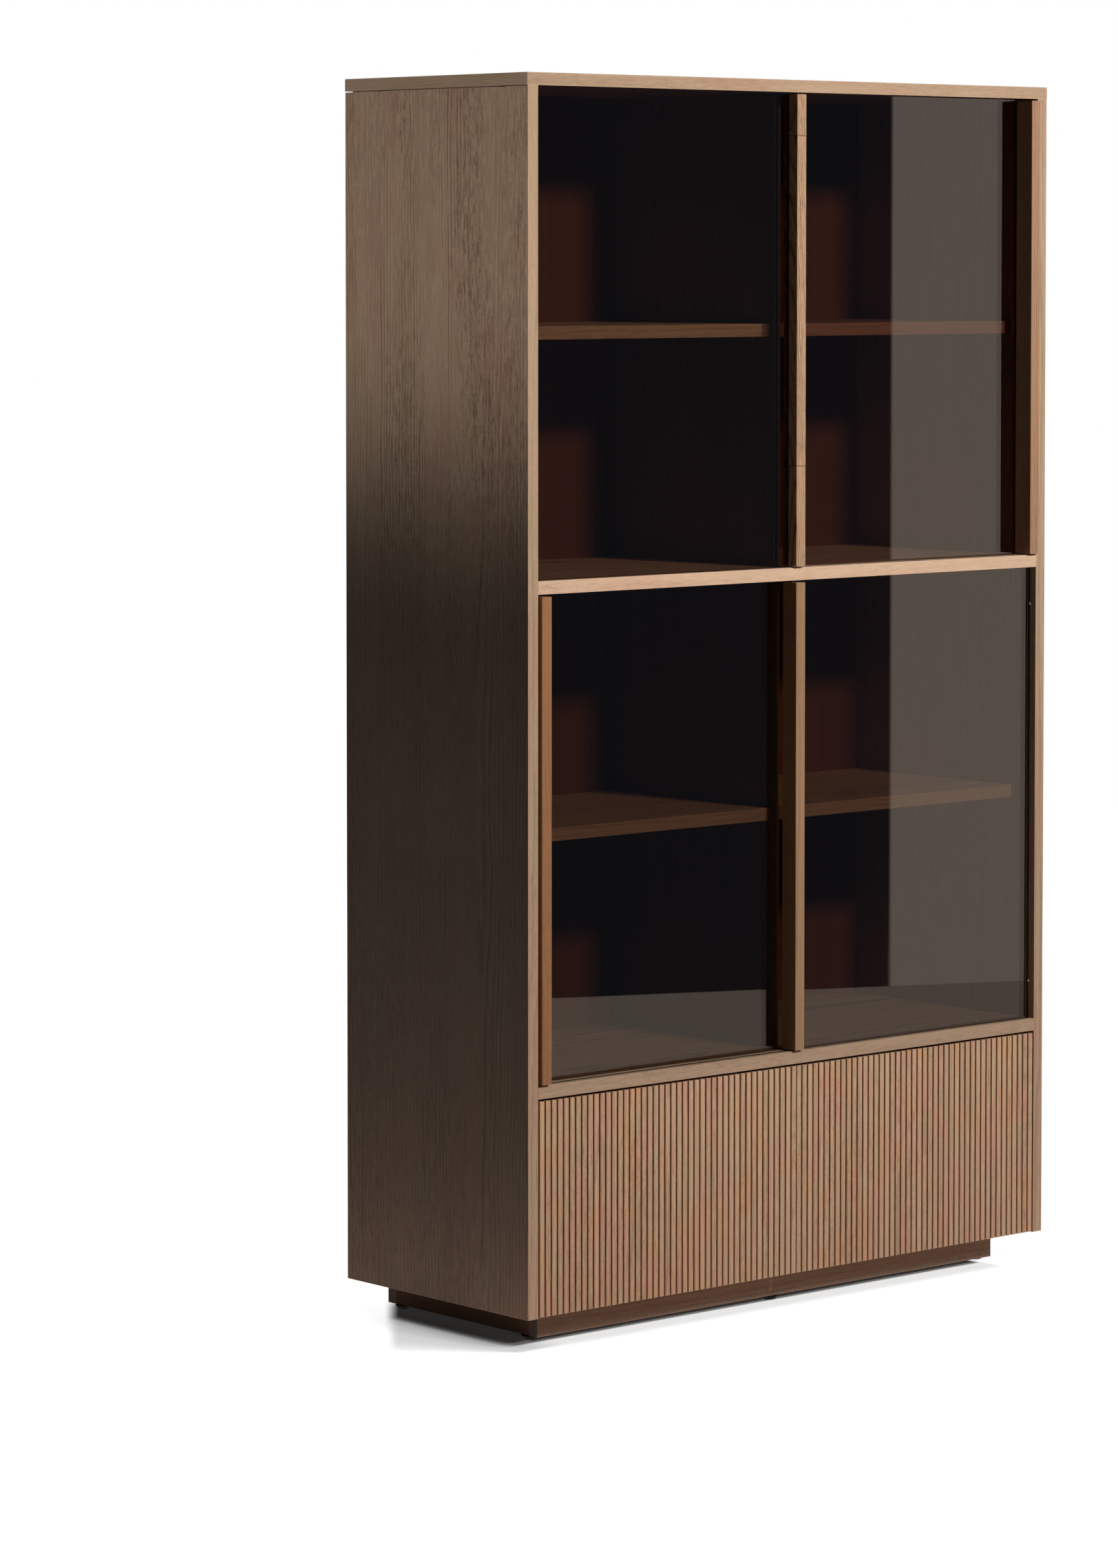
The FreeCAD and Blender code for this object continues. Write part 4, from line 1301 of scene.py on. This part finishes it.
@dataclass(frozen=True)
class Floor:
    """A pale floor, with the dark that the object leaves on it and the light that it throws back.

    Each span is where a change starts and where it ends. Beside and behind are how far a point lies to the
    left of the case and behind its front. The wedge is the half-shaded floor on the left, where
    beside / behind is small. The light from behind goes past the case beyond a slanted line on the left, and
    at the right end.
    """

    front_edge: float = -3.8
    slant: float = 0.458
    side: float = 7.0
    seen_tone: float = 0.3
    mirrored_glow: float = 0.83
    contact_reach: float = 0.2
    contact_sky: Span = (0.33, 0.66)
    contact_glow: float = 0.02
    front_share: float = 0.65
    front_end: Span = (0.047, 0.055)
    wedge: Span = (0.3, 1.4)
    wedge_dark: float = 0.415
    back_light: Span = (0.77, 0.63)
    past_left: Span = (-0.505, -0.48)
    past_right: Span = (-0.10, -0.085)
    past_glow: float = 0.9
    bounce_reach: Span = (0.15, 0.8)
    bounce_tones: Span = (0.6, 0.06)
    left_shrink: float = 1.2
    left_gain: float = 0.6
    bounce_wedge_dark: float = 0.4
    warmth: Place = (1.0, 0.84, 0.78)

    def sheet(self) -> Piece:
        """Make the sheet, whose front edge is slanted.

        Returns:
            The new object.
        """
        rise = self.side * self.slant
        corners = [(-self.side, self.front_edge - rise, 0.0), (self.side, self.front_edge + rise, 0.0),
                   (self.side, self.side, 0.0), (-self.side, self.side, 0.0)]
        mesh = bpy.data.meshes.new("floor")
        mesh.from_pydata(corners, [], [(0, 1, 2, 3)])
        floor = bpy.data.objects.new("floor", mesh)
        bpy.context.scene.collection.objects.link(floor)
        return floor

    def wedge_and_past(self, bench: Bench, beside: Value, behind: Value, right: float) -> tuple[Value, Value]:
        """Where the half-shaded wedge lies, and where the light from behind goes past the case.

        Args:
            bench: Where the nodes go.
            beside: How far a point lies to the left of the case.
            behind: How far it lies behind the case's front.
            right: The X of the case's right side.

        Returns:
            The wedge, and the floor past the case, each from 0 to 1.
        """
        x, y, _ = bench.place()
        past = (x * self.back_light[0] - y * self.back_light[1]).step(*self.past_left, 1.0, 0.0)
        past = past.most((x - right).step(*self.past_right))
        wedge = (beside / behind.most(0.0001)).step(*self.wedge, 1.0, 0.0) * behind.step(0.0, 0.02)
        return wedge * (1.0 - past) * beside.step(-0.1, 0.0), past

    def bounced(self, bench: Bench, left: Value, wedge: Value, high: Vector) -> Socket:
        """The floor's colour for the light that it throws back, which falls off away from the case.

        Args:
            bench: Where the nodes go.
            left: 1 to the left of the case and 0 elsewhere.
            wedge: The half-shaded wedge.
            high: The case's highest corner.

        Returns:
            The colour.
        """
        sideways, lengthwise = (
            (abs(value) - limit).most(0.0) for value, limit in zip(bench.place(), high.xy))
        away = (sideways * sideways + lengthwise * lengthwise).root() * (left * self.left_shrink + 1.0)
        tone = away.step(*self.bounce_reach, *self.bounce_tones) * (1.0 - wedge * self.bounce_wedge_dark)
        tone = tone * (left * self.left_gain + 1.0)
        vectors = {0: bench.vector(tone, tone, tone), 1: self.warmth}
        return bench.node("VectorMath", {"operation": "MULTIPLY"}, vectors).outputs[0]

    def material(self) -> Material:
        """Make the finish.

        To the camera the floor glows white, less where it sees little of the sky. In front of the plinth it
        keeps most of its glow, and under the plinth it doesn't. Mirrors show an even glow, and the light that
        the floor throws on the object comes from the bounced colour.

        Returns:
            The material.
        """
        material, bench = new_material("floor")
        x, y, _ = bench.place()
        low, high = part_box("top_panel")
        beside, behind = low.x - x, y - low.y
        wedge, past = self.wedge_and_past(bench, beside, behind, high.x)
        dimmed = 1.0 - wedge * self.wedge_dark
        occlusion = bench.node("AmbientOcclusion", {"samples": 16}, {"Distance": self.contact_reach})
        lit = bench.value(occlusion, "AO").step(*self.contact_sky, self.contact_glow, 1.0)
        front = behind.step(*self.front_end, self.front_share, 0.0)
        lit = (lit + (1.0 - lit) * front).most(past * self.past_glow) * dimmed
        seen = bench.seen()
        glow = seen * lit + bench.mirrored() * self.mirrored_glow
        bounced = self.bounced(bench, beside.step(-0.02, 0.02), wedge, high)
        bare = dimmed * self.seen_tone
        light = bench.node("CombineColor", sockets={0: glow, 1: glow, 2: glow}).outputs[0]
        bench.principled({
            "Base Color": bench.mixed(seen, bounced, bench.vector(bare, bare, bare)), "Roughness": 0.9,
            "Specular IOR Level": 0.0, "Emission Color": light, "Emission Strength": 1.0})
        return material

    def build(self) -> None:
        """Make the floor, which is not a part of the object."""
        floor = self.sheet()
        dress(floor, self.material())


@dataclass(frozen=True)
class Studio:
    """A pale floor, a white surround for the camera, three soft lamps and the camera."""

    floor: Floor = Floor()
    image_height: int = 2278
    sensor: float = 36.0
    focal_pixels: float = 7568.0
    view_turn: float = 40.947
    view_tilt: float = 2.98
    centre_row: float = 764.0
    eye: Place = (-5.5440, -6.0380, 1.6316)
    ambient: float = 0.02
    dim: Place = (0.05, 0.072, 0.115)
    wall_white: float = 1.3
    wall_turn: float = 44.6
    lamps: tuple[Lamp, ...] = (
        Lamp("key", (0.64, -5.3, 3.76), (0.0, -0.2, 1.9), (0.7, 0.5), 0.33, (1.0, 0.99, 0.975), 95.0),
        Lamp("high_left", (-2.6, 0.8, 2.01), (-0.55, 0.1, 2.01), (1.4, 1.36), 0.05, (0.98, 0.99, 1.02), 15.5),
        Lamp("rear", (3.0, 3.8, 2.4), (0.3, 0.2, 1.0), (1.6, 2.2), 0.7),
    )

    def build_camera(self) -> None:
        """Make the camera: a small downward tilt, and a shift that brings the picture down to the object."""
        data = bpy.data.cameras.new("camera")
        data.sensor_width = self.sensor
        data.lens = self.focal_pixels / self.image_height * self.sensor
        data.shift_y = (self.centre_row - self.image_height / 2) / self.image_height
        camera = bpy.data.objects.new("camera", data)
        camera.location = self.eye
        camera.rotation_euler = (math.radians(90.0 - self.view_tilt), 0.0, math.radians(-self.view_turn))
        bpy.context.scene.collection.objects.link(camera)
        bpy.context.scene.camera = camera

    def build_world(self) -> None:
        """Make the surround: white to the camera, a low even light on everything, and in mirrors a white wall
        to one side of a line through the object and dark elsewhere."""
        world = bpy.data.worlds.new("surround")
        world.use_nodes = True
        bpy.context.scene.world = world
        bench = Bench(world.node_tree)
        x, y, _ = bench.parts(bench.node("TexCoord").outputs["Generated"])
        slope = math.tan(math.radians(self.wall_turn))
        wall = (x + y * slope).step(-0.0006, 0.0006) * x.step(0.0, 0.01)
        mirrored = bench.mixed(wall, (*self.dim, 1.0), (self.wall_white,) * 3 + (1.0,))
        colour = bench.mixed(bench.mirrored(), (self.ambient,) * 3 + (1.0,), mirrored)
        colour = bench.mixed(bench.seen(), colour, WHITE)
        background = bench.node("Background", sockets={"Color": colour, "Strength": 1.0})
        bench.node("OutputWorld", sockets={"Surface": background.outputs[0]})

    def build(self) -> None:
        """Make everything round the object."""
        bpy.context.scene.view_settings.view_transform = "Standard"
        self.build_camera()
        self.build_world()
        self.floor.build()
        for lamp in self.lamps:
            lamp.build()
        log.info("studio: %d lamps", len(self.lamps))


def main() -> None:
    """Dress the frame, build the small parts and the studio."""
    logging.basicConfig(level=logging.INFO, format="%(name)s: %(message)s")
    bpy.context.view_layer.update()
    Studio().build()
    Case().dress()
    ScrewSet().build()
    BumperSet().build()
    for place in ("front_left", "front_centre", "front_right", "back_left", "back_centre", "back_right"):
        Foot(place + "_foot").build()
    for number, name in enumerate(PULL_ASH):
        Door(name, seed=20.0 + number * 3.7).dress()
    for side, slat_seed in (("left", 40.0), ("right", 60.0)):
        drawer = Drawer(side, slat_seed)
        drawer.dress()
        drawer.build_slats()
        drawer.build_balls()


if __name__ == "__main__":
    main()
